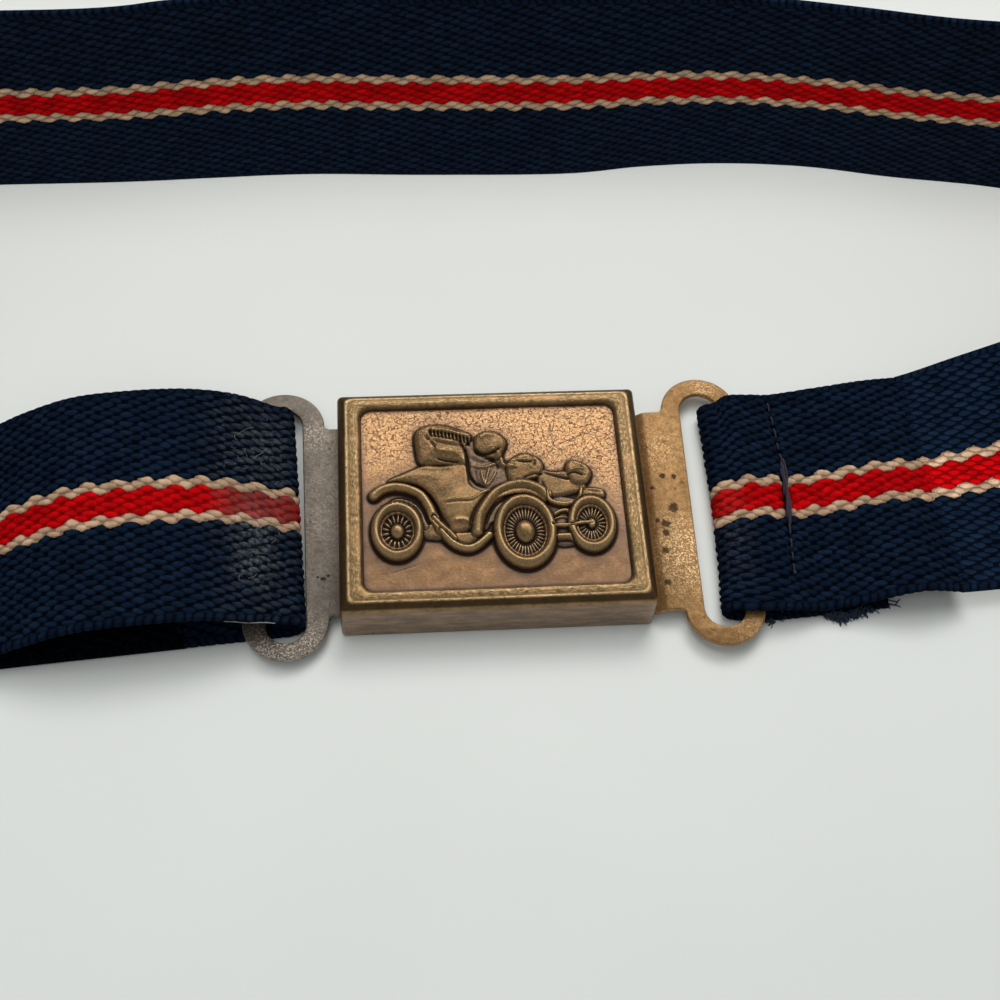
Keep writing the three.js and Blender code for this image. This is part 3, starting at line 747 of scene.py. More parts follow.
def rim_piece(material):
    shell, info = [], []
    for ix, iy, radius, z, share in rim_rings():
        ring = rounded_rectangle(COVER["length"] / 2 - ix, COVER["width"] / 2 - iy, radius)
        x, y = ring.T
        wobble = 0.05 * waves(x, y, 3, 2.6) * smoothstep(0.05, 0.4, share) * (1 - smoothstep(0.9, 1.0, share))
        dents = 0.035 * waves(x, y, 5, 0.8) * smoothstep(0.2, 0.5, share) * (1 - smoothstep(0.85, 1.0, share))
        shell.append(np.column_stack([x, y, z + wobble + dents]))
        info.append(np.column_stack([np.full_like(x, share), x, y]))
    faces = grid_faces(len(shell), len(shell[0]), wrap=True)
    return add_object("cover_rim", np.concatenate(shell), faces, material, {"rim": np.concatenate(info)})


# buckle cover, panel with a veteran car in relief
# Places are in hundredths of the panel's half length and half width.

def panel_grid(step):
    nx = int(round(2 * (PANEL_HALF[0] + 0.1) / step)) + 1
    ny = int(round(2 * (PANEL_HALF[1] + 0.1) / step)) + 1
    x = np.linspace(-PANEL_HALF[0] - 0.1, PANEL_HALF[0] + 0.1, nx)
    y = np.linspace(-PANEL_HALF[1] - 0.1, PANEL_HALF[1] + 0.1, ny)
    return np.meshgrid(x, y)


def curve(points, closed, steps=6):
    """A spline through places given in hundredths, in millimetres."""
    p = np.asarray(points, dtype=float) * np.array(PANEL_HALF) / 100
    if closed:
        p = np.vstack([p[-1], p, p[0], p[1]])
    else:
        p = np.vstack([2 * p[0] - p[1], p, 2 * p[-1] - p[-2]])
    t = (np.arange(steps) / steps)[:, None]
    out = []
    for i in range(len(p) - 3):
        a, b, c, d = p[i:i + 4]
        out.append(0.5 * (2 * b + (c - a) * t + (2 * a - 5 * b + 4 * c - d) * t ** 2
                          + (3 * b - a - 3 * c + d) * t ** 3))
    out.append(p[-2:-1])
    return np.vstack(out)


class Relief:
    """A height field on the panel, built up from raised forms, beads and grooves."""

    def __init__(self, x, y):
        self.x, self.y = x, y
        self.height = np.zeros_like(x)
        self.outside = np.full_like(x, 50.0)
        self.scratch = np.zeros_like(x)
        # Painted shade in grooves and between the spokes.
        self.crevice_shade = np.zeros_like(x)

    def near(self, line, margin):
        lo, hi = line.min(0) - margin, line.max(0) + margin
        return (self.x > lo[0]) & (self.x < hi[0]) & (self.y > lo[1]) & (self.y < hi[1])

    def distance(self, line, mask):
        px, py = self.x[mask], self.y[mask]
        best = np.full(px.shape, 1e9)
        share = np.zeros(px.shape)
        for i in range(len(line) - 1):
            a, b = line[i], line[i + 1]
            ab = b - a
            t = np.clip(((px - a[0]) * ab[0] + (py - a[1]) * ab[1]) / (ab @ ab + 1e-12), 0, 1)
            d = (px - a[0] - t * ab[0]) ** 2 + (py - a[1] - t * ab[1]) ** 2
            closer = d < best
            best = np.where(closer, d, best)
            share = np.where(closer, (i + t) / (len(line) - 1), share)
        return np.sqrt(best), share

    def inside(self, line, mask):
        px, py = self.x[mask], self.y[mask]
        odd = np.zeros(px.shape, dtype=bool)
        for i in range(len(line) - 1):
            (ax, ay), (bx, by) = line[i], line[i + 1]
            if ay == by:
                continue
            hit = ((ay > py) != (by > py)) & (px < (bx - ax) * (py - ay) / (by - ay) + ax)
            odd ^= hit
        return odd

    def form(self, outline, top, edge=0.55, crown=0.0):
        """A raised form with rolled edges; top and crown in millimetres."""
        line = curve(outline, True)
        mask = self.near(line, 1.6)
        d, _ = self.distance(line, mask)
        within = self.inside(line, mask)
        t = np.clip(d / edge, 0, 1)
        h = top * np.sqrt(1 - (1 - t) ** 2) + crown * smoothstep(0, 2.4, d)
        old = self.height[mask]
        h = np.where(d < 0.3, np.maximum(h, np.minimum(old, top)), h)
        self.height[mask] = np.where(within, h, old)
        self.outside[mask] = np.minimum(self.outside[mask], np.where(within, 0.0, d))

    def bead(self, line, width, top, ends=1.0):
        """A rounded bead along a line; width and top in millimetres, narrower towards its ends by ends."""
        line = curve(line, False)
        mask = self.near(line, 1.6)
        d, share = self.distance(line, mask)
        half = width / 2 * (ends + (1 - ends) * np.sin(np.pi * np.clip(share, 0, 1)) ** 0.6)
        t = np.clip(1 - (d / half) ** 2, 0, 1)
        h = top * np.sqrt(t)
        old = self.height[mask]
        self.height[mask] = np.where(t > 0, np.maximum(old * (t < 0.35), h), old)
        self.outside[mask] = np.minimum(self.outside[mask], np.maximum(d - half, 0))

    def soft_line(self, line, width):
        """A mask round a line, and in it a bell across the line that fades at both ends."""
        line = curve(line, False)
        mask = self.near(line, 1.0)
        d, share = self.distance(line, mask)
        return mask, bell(d, width / 2) * np.clip(np.minimum(share, 1 - share) * 6 + 0.25, 0, 1)

    def groove(self, line, width, depth):
        mask, cut = self.soft_line(line, width)
        self.height[mask] -= depth * cut
        # Painted shade along the groove.
        self.crevice_shade[mask] = np.maximum(self.crevice_shade[mask], 1.1 * depth * cut)

    def ridge(self, line, width, height):
        mask, rise = self.soft_line(line, width)
        self.height[mask] += height * rise

    def mark(self, line, width):
        """A scratch that comes and goes along its line, given in millimetres."""
        line = np.asarray(line, dtype=float)
        mask = self.near(line, 0.8)
        d, share = self.distance(line, mask)
        value = bell(d, width) * (0.5 + 0.5 * np.sin(share * 17 + line[0, 0] * 3) ** 2)
        self.scratch[mask] = np.maximum(self.scratch[mask], value)

    def wheel(self, x, y, rx, ry, tyre, hub, spokes, top, petals, bold_right=0.0):
        """A tyre, a rim, petal-shaped spokes and a hub, squeezed into an ellipse.

        tyre: half its width as a share of the radius; petals: strength of the spokes; bold_right: how much
        stronger they are towards the right.
        """
        disc = 0.28
        cx, cy = x / 100 * PANEL_HALF[0], y / 100 * PANEL_HALF[1]
        radius, stretch = rx / 100 * PANEL_HALF[0], ry / 100 * PANEL_HALF[1] / (rx / 100 * PANEL_HALF[0])
        dx, dy = self.x - cx, (self.y - cy) / stretch
        r = np.hypot(dx, dy)
        half = tyre * radius
        angle = np.arctan2(dy, dx)
        t = np.clip(1 - ((r - radius) / half) ** 2, 0, 1)
        tyre_h = top * np.sqrt(t)
        lip = np.clip(1 - ((r - (radius - half * 1.08)) / 0.2) ** 2, 0, 1)
        lip_h = (disc + 0.34) * np.sqrt(lip)
        inside = r < radius - half * 0.9
        share = np.clip((r - hub) / max(radius - half - hub, 0.1), 0, 1)
        wave = 0.5 + 0.5 * np.cos(spokes * angle)
        strength = petals * (0.35 + 0.65 * share) * (1 + bold_right * np.clip(np.cos(angle - 0.2), -0.6, 1))
        spoke_h = disc - 0.16 + strength * wave ** 1.5 * np.clip(1.35 - share, 0.2, 1) * 0.55
        between = (1 - wave) ** 2 * (r < radius - half) * (r > hub * 1.15)
        # Painted shade between the spokes.
        self.crevice_shade = np.where(r < radius + half, 0.55 * between, self.crevice_shade)
        hub_t = np.clip(1 - (r / hub) ** 2, 0, 1)
        hub_h = disc + (top * 0.62 - disc + 0.14) * np.sqrt(hub_t)
        moat = np.exp(-((r - hub * 1.12) / 0.16) ** 2) * 0.2
        face_h = np.where(r < hub, hub_h, spoke_h - moat)
        h = np.where(inside, np.maximum(face_h, lip_h), np.maximum(tyre_h, lip_h))
        covered = r < radius + half
        self.height = np.where(covered, h, self.height)
        self.outside = np.minimum(self.outside, np.maximum(r - radius - half, 0))


def blurred(field, reach):
    """The field smoothed over reach grid steps, one at the least."""
    out = field
    for axis in (0, 1):
        size = max(int(reach), 1)
        kernel = np.exp(-np.linspace(-2, 2, 2 * size + 1) ** 2)
        kernel /= kernel.sum()
        padded = np.pad(out, [(size, size) if a == axis else (0, 0) for a in (0, 1)], mode="edge")
        out = np.apply_along_axis(lambda a: np.convolve(a, kernel, "valid"), axis, padded)
    return out


def car_forms(relief):
    """Body, hood, cabin, bonnet and lamps, each laid over the forms before it."""
    form = relief.form
    form([[42, -8], [66, -10], [70, -30], [66, -54], [44, -56]], 0.22, 0.4)
    form([[-54, -34], [-44, -30], [-34, -40], [-12, -40], [-10, -46], [-22, -56], [-34, -50],
          [-54, -46]], 0.5)
    form([[-80, 18], [-66, 27], [-52, 34], [-38, 33], [-19, 33], [-17, 12], [-7, 5], [0, 12], [12, 16],
          [30, 10], [40, 2], [42, -10], [20, -20], [-20, -40], [-36, -38], [-46, -6], [-58, 12],
          [-72, 16]], 0.62, 0.5, 0.16)
    form([[-54, 34], [-58, 50], [-58, 70], [-50, 79], [-36, 80], [-22, 73], [-14, 66], [-18, 52], [-18, 34],
          [-36, 33]], 0.82, 0.7, 0.3)
    form([[-19, 56], [-8, 58], [6, 44], [12, 32], [12, 12], [2, 6], [-10, 4], [-18, 16]], 0.3, 0.35)
    form([[-12, 62], [-4, 70], [6, 69], [13, 58], [10, 46], [6, 38], [-4, 42], [-12, 50]], 0.8, 0.6, 0.15)
    form([[36, 25], [48, 23], [58, 23], [70, 12], [72, 2], [64, -2], [44, -6], [36, 4]], 0.5, 0.5)
    form([[11, 30], [18, 40], [26, 44], [34, 41], [40, 32], [39, 21], [30, 14], [14, 12]], 0.78, 0.55, 0.12)
    form([[57, 24], [61, 34], [68, 33], [75, 27], [77, 17], [71, 6], [61, 8]], 0.85, 0.6, 0.12)
    form([[69, 2], [77, 3], [85, 0], [85, -8], [76, -9], [68, -8]], 0.62, 0.4)
    form([[-84, -12], [-76, -2], [-66, -3], [-57, -12], [-52, -26], [-50, -36], [-56, -38], [-62, -24],
          [-72, -14], [-82, -16]], 0.3, 0.3)
    form([[-13, -42], [-9, -24], [0, -9], [12, -2], [24, -1], [36, -8], [42, -18], [30, -24], [4, -24],
          [-6, -38]], 0.35, 0.4)


def car_beads_and_wheels(relief):
    """Mudguards, rods, axles and the three wheels."""
    bead = relief.bead
    bead([[-91, 1], [-85, 7], [-76, 10], [-66, 8], [-56, 1], [-50, -11], [-46, -25], [-41, -40]], 1.35, 1.08)
    bead([[-14, -42], [-12, -26], [-6, -12], [2, 0], [12, 7], [23, 9], [33, 5], [41, -3]], 1.65, 1.12)
    bead([[-41, -40], [-35, -50], [-28, -57], [-20, -59], [-13, -55], [-5, -46]], 1.15, 1.0)
    bead([[42, 1], [42, -8], [46, -13], [53, -15], [61, -14], [66, -8], [68, 1]], 0.62, 0.98)
    bead([[46, -25], [51, -22], [56, -22], [61, -27], [67, -33]], 0.5, 0.75)
    bead([[44, -31], [52, -28], [60, -33]], 0.3, 0.5)
    bead([[45, -50], [56, -50], [62, -53], [67, -59]], 1.15, 0.9)
    bead([[-46, -25], [-42, -32], [-36, -40], [-31, -48]], 1.05, 0.85)
    relief.wheel(-74, -38, 16.3, 26, 0.235, 0.8, 17, 1.18, 1.0)
    relief.wheel(73.5, -36.5, 15.2, 25.5, 0.235, 0.5, 22, 1.08, 0.9, bold_right=0.5)
    relief.wheel(22.5, -42.5, 20.3, 34, 0.20, 1.15, 34, 1.25, 0.9)
    bead([[44, -38], [58, -38], [66, -36], [74, -36]], 0.62, 0.85, ends=0.8)


def hood_lines(groove, ridge):
    """Ribs, creases and the lines below the hood."""
    for k in range(11):
        share = k / 10
        x = -46 + 28.5 * share
        y = 68 - 8.5 * share ** 1.2
        groove([[x, y + 4.6], [x + 0.9, y - 4.0]], 0.36, 0.5)
    ridge([[-47, 71.5], [-38, 72], [-28, 69], [-19, 63]], 0.4, 0.14)
    groove([[-50, 62], [-44, 60], [-36, 56], [-27, 54], [-19, 54]], 0.4, 0.16)
    groove([[-50, 66], [-46, 58], [-42, 50]], 0.5, 0.16)
    ridge([[-48, 62], [-43, 56], [-41, 46]], 0.55, 0.2)
    ridge([[-42, 48], [-34, 46], [-24, 44]], 0.7, 0.12)
    groove([[-42, 39], [-34, 36.5], [-24, 35]], 0.32, 0.26)
    groove([[-25, 63], [-20, 50], [-18, 36], [-17.5, 24], [-13, 13], [-5, 7]], 0.42, 0.42)


def cabin_lines(groove, ridge):
    """Lever, leaf shapes and the seat's edge."""
    ridge([[-14, 32], [-6, 30], [2, 33], [7, 36]], 0.42, 0.2)
    groove([[-16, 41], [-6, 36], [4, 40]], 0.4, 0.14)
    ridge([[-8, 27], [-7, 17], [-5, 9]], 0.3, 0.22)
    ridge([[-1, 30], [-4, 18], [-5, 9]], 0.34, 0.2)
    ridge([[4, 26], [1, 18], [-4, 9]], 0.28, 0.18)
    groove([[-12, 28], [-12, 18], [-9, 11]], 0.3, 0.12)
    groove([[-13, 50], [-8, 45], [-1, 44], [4, 46], [8, 50]], 0.42, 0.34)
    ridge([[-8, 61], [-3, 65], [3, 64]], 0.9, 0.16)
    ridge([[-1, 49], [4, 47], [8, 41], [9, 33], [14, 29], [19, 28]], 0.55, 0.34)
    groove([[-6, 41], [0, 39], [4, 34], [6, 27]], 0.4, 0.22)


def body_lines(groove, ridge):
    """Sill line and coach lines."""
    ridge([[-36, -7], [-28, -6], [-16, -6], [-8, 1], [0, 4]], 0.32, 0.13)
    groove([[-36, -10], [-28, -9], [-16, -9]], 0.26, 0.08)
    ridge([[-52, 29], [-40, 28.5], [-30, 29]], 0.5, 0.06)
    ridge([[-31, -30], [-24, -29], [-17, -33]], 0.6, 0.12)
    groove([[-64, 13], [-54, 8], [-45, -8], [-38, -28], [-34, -38]], 0.5, 0.3)
    groove([[-20, -40], [-16, -22], [-8, -6], [0, 5], [10, 11]], 0.42, 0.3)
    groove([[-8, -40], [-5, -26], [2, -12], [12, -4], [24, -2], [36, -8]], 0.34, 0.22)
    ridge([[-9, -34], [-5, -20], [3, -8], [13, -1]], 0.26, 0.1)


def front_lines(groove, ridge):
    """Bonnet, lamps, and the rear mudguard's ribs."""
    groove([[18, 35], [26, 33], [33, 33]], 0.26, 0.2)
    groove([[31, 42], [34, 35], [33, 28]], 0.3, 0.18)
    ridge([[14, 36], [20, 35], [28, 36]], 0.4, 0.16)
    groove([[40, 22], [50, 17], [60, 13]], 0.34, 0.22)
    groove([[38, 13], [40, 5], [44, -3]], 0.3, 0.16)
    groove([[24, 15], [32, 19], [40, 20]], 0.3, 0.22)
    groove([[58, 18], [64, 19], [71, 15]], 0.28, 0.22)
    ridge([[60, 21.5], [66, 23.5], [72, 22]], 0.34, 0.14)
    groove([[63, 31], [70, 27], [73, 20]], 0.3, 0.1)
    groove([[66, 3], [76, -1], [84, -2]], 0.24, 0.14)
    groove([[-86, -9], [-76, -5], [-66, -7], [-58, -15], [-54, -26]], 0.3, 0.14)
    for k in range(7):
        x = -78 + 3.6 * k
        y = -7 - 0.5 * max(0, k - 3) ** 2
        ridge([[x, y + 2], [x + 1.4, y - 3]], 0.26, 0.09)


# in millimetres from the panel's middle
SCRATCHES = (
    ((7.4, 6.7), (8.4, 7.0), (11.5, 8.2), (14.0, 9.2)), ((8.1, 7.0), (9.2, 5.9)),
    ((8.1, 7.0), (7.9, 8.6), (7.9, 10.5)), ((-14.5, 11.0), (-14.1, 9.8), (-13.6, 8.5)),
    ((-14.1, 12.3), (-13.9, 11.2), (-13.7, 10.2)), ((-15.0, 7.6), (-14.2, 6.9), (-13.6, 7.4)),
    ((-14.8, 6.0), (-13.7, 5.6)), ((-15.1, 5.1), (-14.2, 5.4)), ((12.4, 10.6), (13.8, 12.0)),
    ((9.6, 11.4), (10.6, 10.2)), ((13.2, 6.0), (14.6, 5.2)), ((-12.8, -10.4), (-9.6, -9.4)),
    ((4.4, 10.8), (5.6, 10.2)), ((-9.8, 10.6), (-8.8, 11.6)), ((12.2, 8.6), (13.4, 8.3)),
    ((10.2, 4.6), (11.3, 6.1)),
)


def panel_piece(material):
    x, y = panel_grid(0.097)
    relief = Relief(x, y)
    car_forms(relief)
    car_beads_and_wheels(relief)
    for draw_lines in (hood_lines, cabin_lines, body_lines, front_lines):
        draw_lines(relief.groove, relief.ridge)
    for line in SCRATCHES:
        relief.mark(line, 0.07)
    soft = blurred(relief.height, 1)
    step = x[0, 1] - x[0, 0]
    # Painted shading: how far each point lies below its blurred surroundings; it darkens the hollows and,
    # where below 0, brightens the crests.
    hollow_shading = (blurred(soft, 0.30 / step) - soft) * 3.0 + blurred(soft, 1.1 / step) - soft
    surface = soft + 0.018 * waves(x, y, 8, 0.5) + 0.03 * waves(x, y, 9, 2.2) - 0.04 * relief.scratch
    corner = np.hypot(np.maximum(np.abs(x) - (PANEL_HALF[0] - RIM["panel_corner"]), 0),
                      np.maximum(np.abs(y) - (PANEL_HALF[1] - RIM["panel_corner"]), 0))
    edge = np.minimum(np.minimum(PANEL_HALF[0] - np.abs(x), PANEL_HALF[1] - np.abs(y)),
                      np.where(corner > 0, RIM["panel_corner"] - corner, 9.0))
    surface = surface - 0.05 * (1 - smoothstep(-0.1, 0.35, edge)) - 0.3 * (1 - smoothstep(-0.12, 0.0, edge))
    points = np.stack([x, y, PANEL_TOP + surface], -1).reshape(-1, 3)
    # Painted shade: a dark outline on the panel round the foot of the relief, added to the hollow shading
    # with the crevice shade.
    outline = 0.75 * bell(relief.outside, 0.26) * (relief.height < 0.12)
    height_and_shading = np.stack([np.clip(relief.height / RELIEF, 0, 1), hollow_shading + outline * 0.4 + relief.crevice_shade * 0.7,
                     np.exp(-relief.outside / 0.95)], -1)
    flat = np.stack([x, y, np.exp(-np.maximum(edge, 0) / 0.5) + 2 * relief.scratch], -1)
    return add_object("cover_panel", points, grid_faces(*x.shape), material,
                      {"height_and_shading": height_and_shading.reshape(-1, 3), "panel": flat.reshape(-1, 3)})


# metal finishes

def panel_field(n, flat, upper, grain, flake, lines):
    """The flat field: coppery above, a painted reflection that brightens it towards the top, duller below,
    with flakes, cracks and pits.
    """
    base = n.mix(upper, (0.265, 0.146, 0.068), (0.72, 0.40, 0.178))
    base = n.mix(n.ramp(grain, 0.42, 0.75), base, n.mix(upper, (0.36, 0.21, 0.100), (0.88, 0.57, 0.31)))
    base = n.mix(n.ramp(n.noise(flat, 0.8, 3.0), 0.5, 0.75) * 0.5, base, (0.62, 0.30, 0.16))
    lively = upper * 0.72 + 0.14
    base = n.mix(n.ramp(flake, 0.38, 0.50, 1.0, 0.0) * lively, base, (0.38, 0.165, 0.070))
    # Painted glints: bright flakes, more of them towards the top.
    base = n.mix(n.ramp(flake, 0.53, 0.64) * lively, base, (1.0, 0.73, 0.41))
    return n.mix(lines * 0.95, base, (0.14, 0.050, 0.020))


def relief_bronze(n, flat, grain, height, hollow_shading):
    """The car: browner bronze, dull where it is low, with a painted highlight on its crests."""
    bronze = n.mix(n.ramp(grain, 0.3, 0.8), (0.155, 0.094, 0.040), (0.33, 0.205, 0.093))
    bronze = n.mix(n.ramp(n.noise(flat, 0.55, 3.0), 0.48, 0.68) * 0.55, bronze, (0.36, 0.185, 0.085))
    bronze = n.mix(n.ramp(height, 0.2, 0.42, 1.0, 0.0) * 0.65, bronze, (0.125, 0.092, 0.080))
    crest_highlight = n.ramp(hollow_shading * -1.0, 0.08, 0.46)
    return n.mix(crest_highlight * n.ramp(grain, 0.2, 0.6, 0.45, 0.95), bronze, (0.62, 0.42, 0.20))


def panel_lines(n, flat, upper, grain, scratch):
    """Cracks, pits and scratches, 0 to 1."""
    bent = n.mix(0.30, flat, n.join(grain, n.noise(flat, 3.1, 3.0)), "ADD")
    sparse = n.ramp(n.noise(flat, 1.7, 4.0, 0.75), 0.45, 0.57)
    crack = n.ramp(n.cells(bent, 1.6), 0.0, 0.15, 1.0, 0.0) * sparse
    pits = n.ramp(n.noise(flat, 5.5, 3.0, 0.6), 0.63, 0.72)
    worn = n.larger(crack * (upper * 0.92 + 0.06), pits * (upper * 0.6 + 0.25))
    return n.clamped(n.larger(worn, scratch))


def panel_metal():
    n = Shader("panel_brass")
    height, hollow_shading, halo = n.split(n.attribute("height_and_shading"))
    x, y, edge_and_scratch = n.split(n.attribute("panel"))
    flat = n.join(x, y)
    grain = n.noise(flat, 2.6, 5.0, 0.7)
    flake = n.noise(flat, 2.7, 6.0, 0.78)
    # Painted reflection: upper makes the field brighter towards the upper right.
    upper = n.ramp(y + n.noise(flat, 0.35, 4.0, 0.6) * 6.0 + x * 0.14, -2.0, 10.5)
    lines = panel_lines(n, flat, upper, grain, n.ramp(edge_and_scratch, 1.05, 1.7) * 0.75)
    base = panel_field(n, flat, upper, grain, flake, lines)
    violet = halo * n.ramp(n.noise(flat, 1.6, 4.0), 0.2, 0.7, 0.45, 1.0)
    base = n.mix(violet * 0.95, base, (0.125, 0.090, 0.078))
    base = n.mix(n.smaller(edge_and_scratch, 1.0) * 0.6, base, (0.19, 0.135, 0.120))
    on_relief = n.ramp(height, 0.10, 0.26)
    # Painted shade: the hollows are darkened nearly to black.
    dark = n.ramp(hollow_shading, 0.03, 0.36)
    colour = n.mix(on_relief, base, relief_bronze(n, flat, grain, height, hollow_shading))
    colour = n.mix(dark * 0.9, colour, (0.022, 0.010, 0.006))
    roughness = n.ramp(grain, 0.3, 0.8, 0.30, 0.42) + dark * 0.25 - on_relief * 0.05
    uneven = flake * (upper * 0.7 + 0.5) * (1.0 - on_relief * 0.75)
    return n.finish(colour, roughness, n.bump(uneven - lines * 0.35, 0.09, 0.8), 0.82)


def rim_metal():
    """The rim's share across runs from 0 at the outer edge to 1 at the panel, and is -1 on the walls."""
    n = Shader("rim_brass")
    share, x, y = n.split(n.attribute("rim"))
    place = n.place()
    grain = n.noise(place, 1.6, 5.0, 0.7)
    base = n.mix(n.ramp(grain, 0.3, 0.75), (0.145, 0.090, 0.038), (0.30, 0.190, 0.084))
    base = n.mix(n.ramp(n.noise(place, 0.35, 3.0), 0.45, 0.7, 0.0, 0.7), base, (0.38, 0.215, 0.100))
    at_end = (abs(x) - abs(y)) > (COVER["length"] - COVER["width"]) / 2
    on_rim = n.join(x, y)
    lengthwise = n.noise(on_rim, 4.2, 4.0, 0.75, stretch=(0.35, 1.0, 1.0))
    crosswise = n.noise(on_rim, 4.2, 4.0, 0.75, stretch=(1.0, 0.35, 1.0))
    brushed = crosswise * at_end + lengthwise * (1.0 - at_end)
    # The gold band on the rim's flat is partly worn brass and partly a painted highlight.
    flat = n.ramp(share, 0.48, 0.56) * n.ramp(share, 0.80, 0.92, 1.0, 0.0)
    base = n.mix(flat * n.ramp(brushed, 0.45, 0.68), base, (0.62, 0.42, 0.205))
    # Painted highlight: a bright line along the rim's crest.
    crest_highlight = n.ramp(share, 0.31, 0.36) * n.ramp(share, 0.40, 0.45, 1.0, 0.0)
    base = n.mix(crest_highlight * n.ramp(brushed, 0.40, 0.55, 0.05, 0.9), base, (0.66, 0.45, 0.225))
    # Painted shade: a dark line in the groove where the rim meets the panel.
    base = n.mix(n.ramp(share, 0.93, 0.98) * 0.65, base, (0.06, 0.030, 0.014))
    # Painted shade: the rim's outer rounding is darkened.
    shoulder_shade = n.ramp(share, 0.0, 0.10) * n.ramp(share, 0.26, 0.34, 1.0, 0.0)
    base = n.mix(shoulder_shade * 0.82, base, (0.060, 0.034, 0.013))
    streak = n.noise(place, 1.2, 4.0, 0.7, stretch=(0.25, 0.25, 1.0))
    wall = n.mix(n.ramp(streak, 0.3, 0.75), (0.19, 0.122, 0.080), (0.37, 0.25, 0.165))
    base = n.mix(n.ramp(share, -0.9, -0.1, 1.0, 0.0), base, wall)
    relief = n.bump(n.noise(place, 3.2, 5.0, 0.75), 0.07, 0.8)
    return n.finish(base, n.ramp(grain, 0.3, 0.8, 0.27, 0.42), relief, 0.85)


def distance_from(n, place, at_x, at_y):
    """Distance in plan from a point given from the buckle's middle."""
    x, y, _ = n.split(place)
    dx = x - (at_x + float(MIDDLE[0]))
    dy = y - (at_y + float(MIDDLE[1]))
    return n.math("SQRT", dx * dx + dy * dy)


def plate_metal(name, dark, light, glints, glint_colour, pit, pit_places):
    """Worn sheet; glints: places with reach and amount, pit_places: dark pits with their reach."""
    n = Shader(name)
    place = n.place()
    grain = n.noise(place, 1.1, 6.0, 0.75)
    fine = n.noise(place, 4.5, 4.0, 0.7)
    base = n.mix(n.ramp(grain, 0.35, 0.7), dark, light)
    bright = 0.0
    for x, y, reach, amount in glints:
        bright = n.larger(bright, n.ramp(distance_from(n, place, x, y), 0.0, reach, amount, 0.0))
    base = n.mix(n.ramp(fine, 0.49, 0.60) * (bright + 0.06), base, glint_colour)
    base = n.mix(n.ramp(n.noise(place, 0.28, 3.0, 0.6), 0.5, 0.72) * 0.45, base, pit)
    holes = n.ramp(n.noise(place, 0.9, 4.0, 0.7), 0.62, 0.70) * 0.55
    ragged = n.noise(place, 1.6, 6.0, 0.85) - 0.5
    for x, y, reach in pit_places:
        near = distance_from(n, place, x, y) + ragged * (reach * 3.2)
        holes = n.larger(holes, n.ramp(near, reach * 0.45, reach, 0.9, 0.0))
    base = n.mix(holes, base, tuple(c * 0.28 for c in pit))
    relief = n.bump(fine * 0.6 + grain * 0.6 - holes * 0.8, 0.07, 0.6)
    return n.finish(base, n.ramp(fine, 0.3, 0.7, 0.50, 0.38) + holes * 0.2, relief, 0.75)


panel = panel_piece(panel_metal())
rim = rim_piece(rim_metal())


def cad_copy(node, name, material, keep):
    """The faces of a CAD node that keep(centre, normal) picks, in millimetres from the buckle's middle."""
    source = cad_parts[node].data
    bm = bmesh.new()
    bm.from_mesh(source)
    bmesh.ops.remove_doubles(bm, verts=bm.verts, dist=1e-6)
    bm.normal_update()
    drop = []
    for face in bm.faces:
        centre = np.array(face.calc_center_median()) * 1000 - MIDDLE
        if not keep(centre, np.array(face.normal)):
            drop.append(face)
    bmesh.ops.delete(bm, geom=drop, context="FACES")
    mesh = bpy.data.meshes.new(name)
    bm.to_mesh(mesh)
    bm.free()
    obj = bpy.data.objects.new(name, mesh)
    bpy.context.scene.collection.objects.link(obj)
    obj.data.materials.clear()
    obj.data.materials.append(material)
    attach(obj, "root")
    return obj


def inner_face(centre, normal):
    outside = (abs(centre[0]) > COVER["length"] / 2 - 0.5 * COVER["sheet"]
               or abs(centre[1]) > COVER["width"] / 2 - 0.5 * COVER["sheet"])
    under_lip = centre[2] < 0.02 and normal[2] < -0.5
    return (not outside and centre[2] < PANEL_TOP - 0.5 * COVER["sheet"]) or under_lip or (
        abs(normal[2]) > 0.5 and 0.5 < centre[2] < 4.0)


inside_metal = plate_metal("inner_brass", (0.16, 0.11, 0.06), (0.30, 0.21, 0.12), ((0, 0, 8, 0.3),),
                           (0.6, 0.45, 0.25), (0.12, 0.08, 0.05), ())
inner = cad_copy("buckle_cover", "cover_inside", inside_metal, inner_face)
for piece in (panel, rim, inner):
    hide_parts("buckle_cover")


# plates with their strap loops

def arc(cx, cy, radius, start, end, steps, side=1):
    """Points of an arc, mirrored left to right when side is -1."""
    angles = np.radians(np.linspace(start, end, steps))
    return np.column_stack([cx + side * radius * np.cos(angles), cy + radius * np.sin(angles)])


def placed(ring, plate):
    """A ring drawn round the plate's loop, turned and moved to its place."""
    turn = math.radians(-plate["askew"])
    x, y = ring.T
    return np.column_stack([x * math.cos(turn) - y * math.sin(turn) + plate["at"],
                            x * math.sin(turn) + y * math.cos(turn)])


def plate_outline(plate, fillet=0.7):
    """The outside of a plate from the cut line to its strap loop."""
    side, ears, radius, half = plate["side"], plate["ears"], plate["radius"], plate["half_width"]
    lobe = np.vstack([arc(0, -ears, radius, 188, 270, 14, side)[plate["skip"]:],
                      arc(0, -ears, radius, 270, 360, 14, side)[1:], arc(0, ears, radius, 0, 172, 26, side)])
    lobe = placed(lobe, plate)
    low = arc(lobe[0, 0] - side * fillet, -half - fillet, fillet, 90, 0, 7, side)
    high = arc(lobe[-1, 0] - side * fillet, half + fillet, fillet, 0, -90, 7, side)
    return np.vstack([[[plate["cut"], -half]], low, lobe, high, [[plate["cut"], half]]])


def slot_outline(plate):
    half, ears = plate["slot"] / 2, plate["slot_ears"]
    ring = np.vstack([arc(0, ears, half, 0, 180, 22), arc(0, -ears, half, 180, 360, 22)])
    return placed(ring + [0, plate["slot_shift"]], plate)


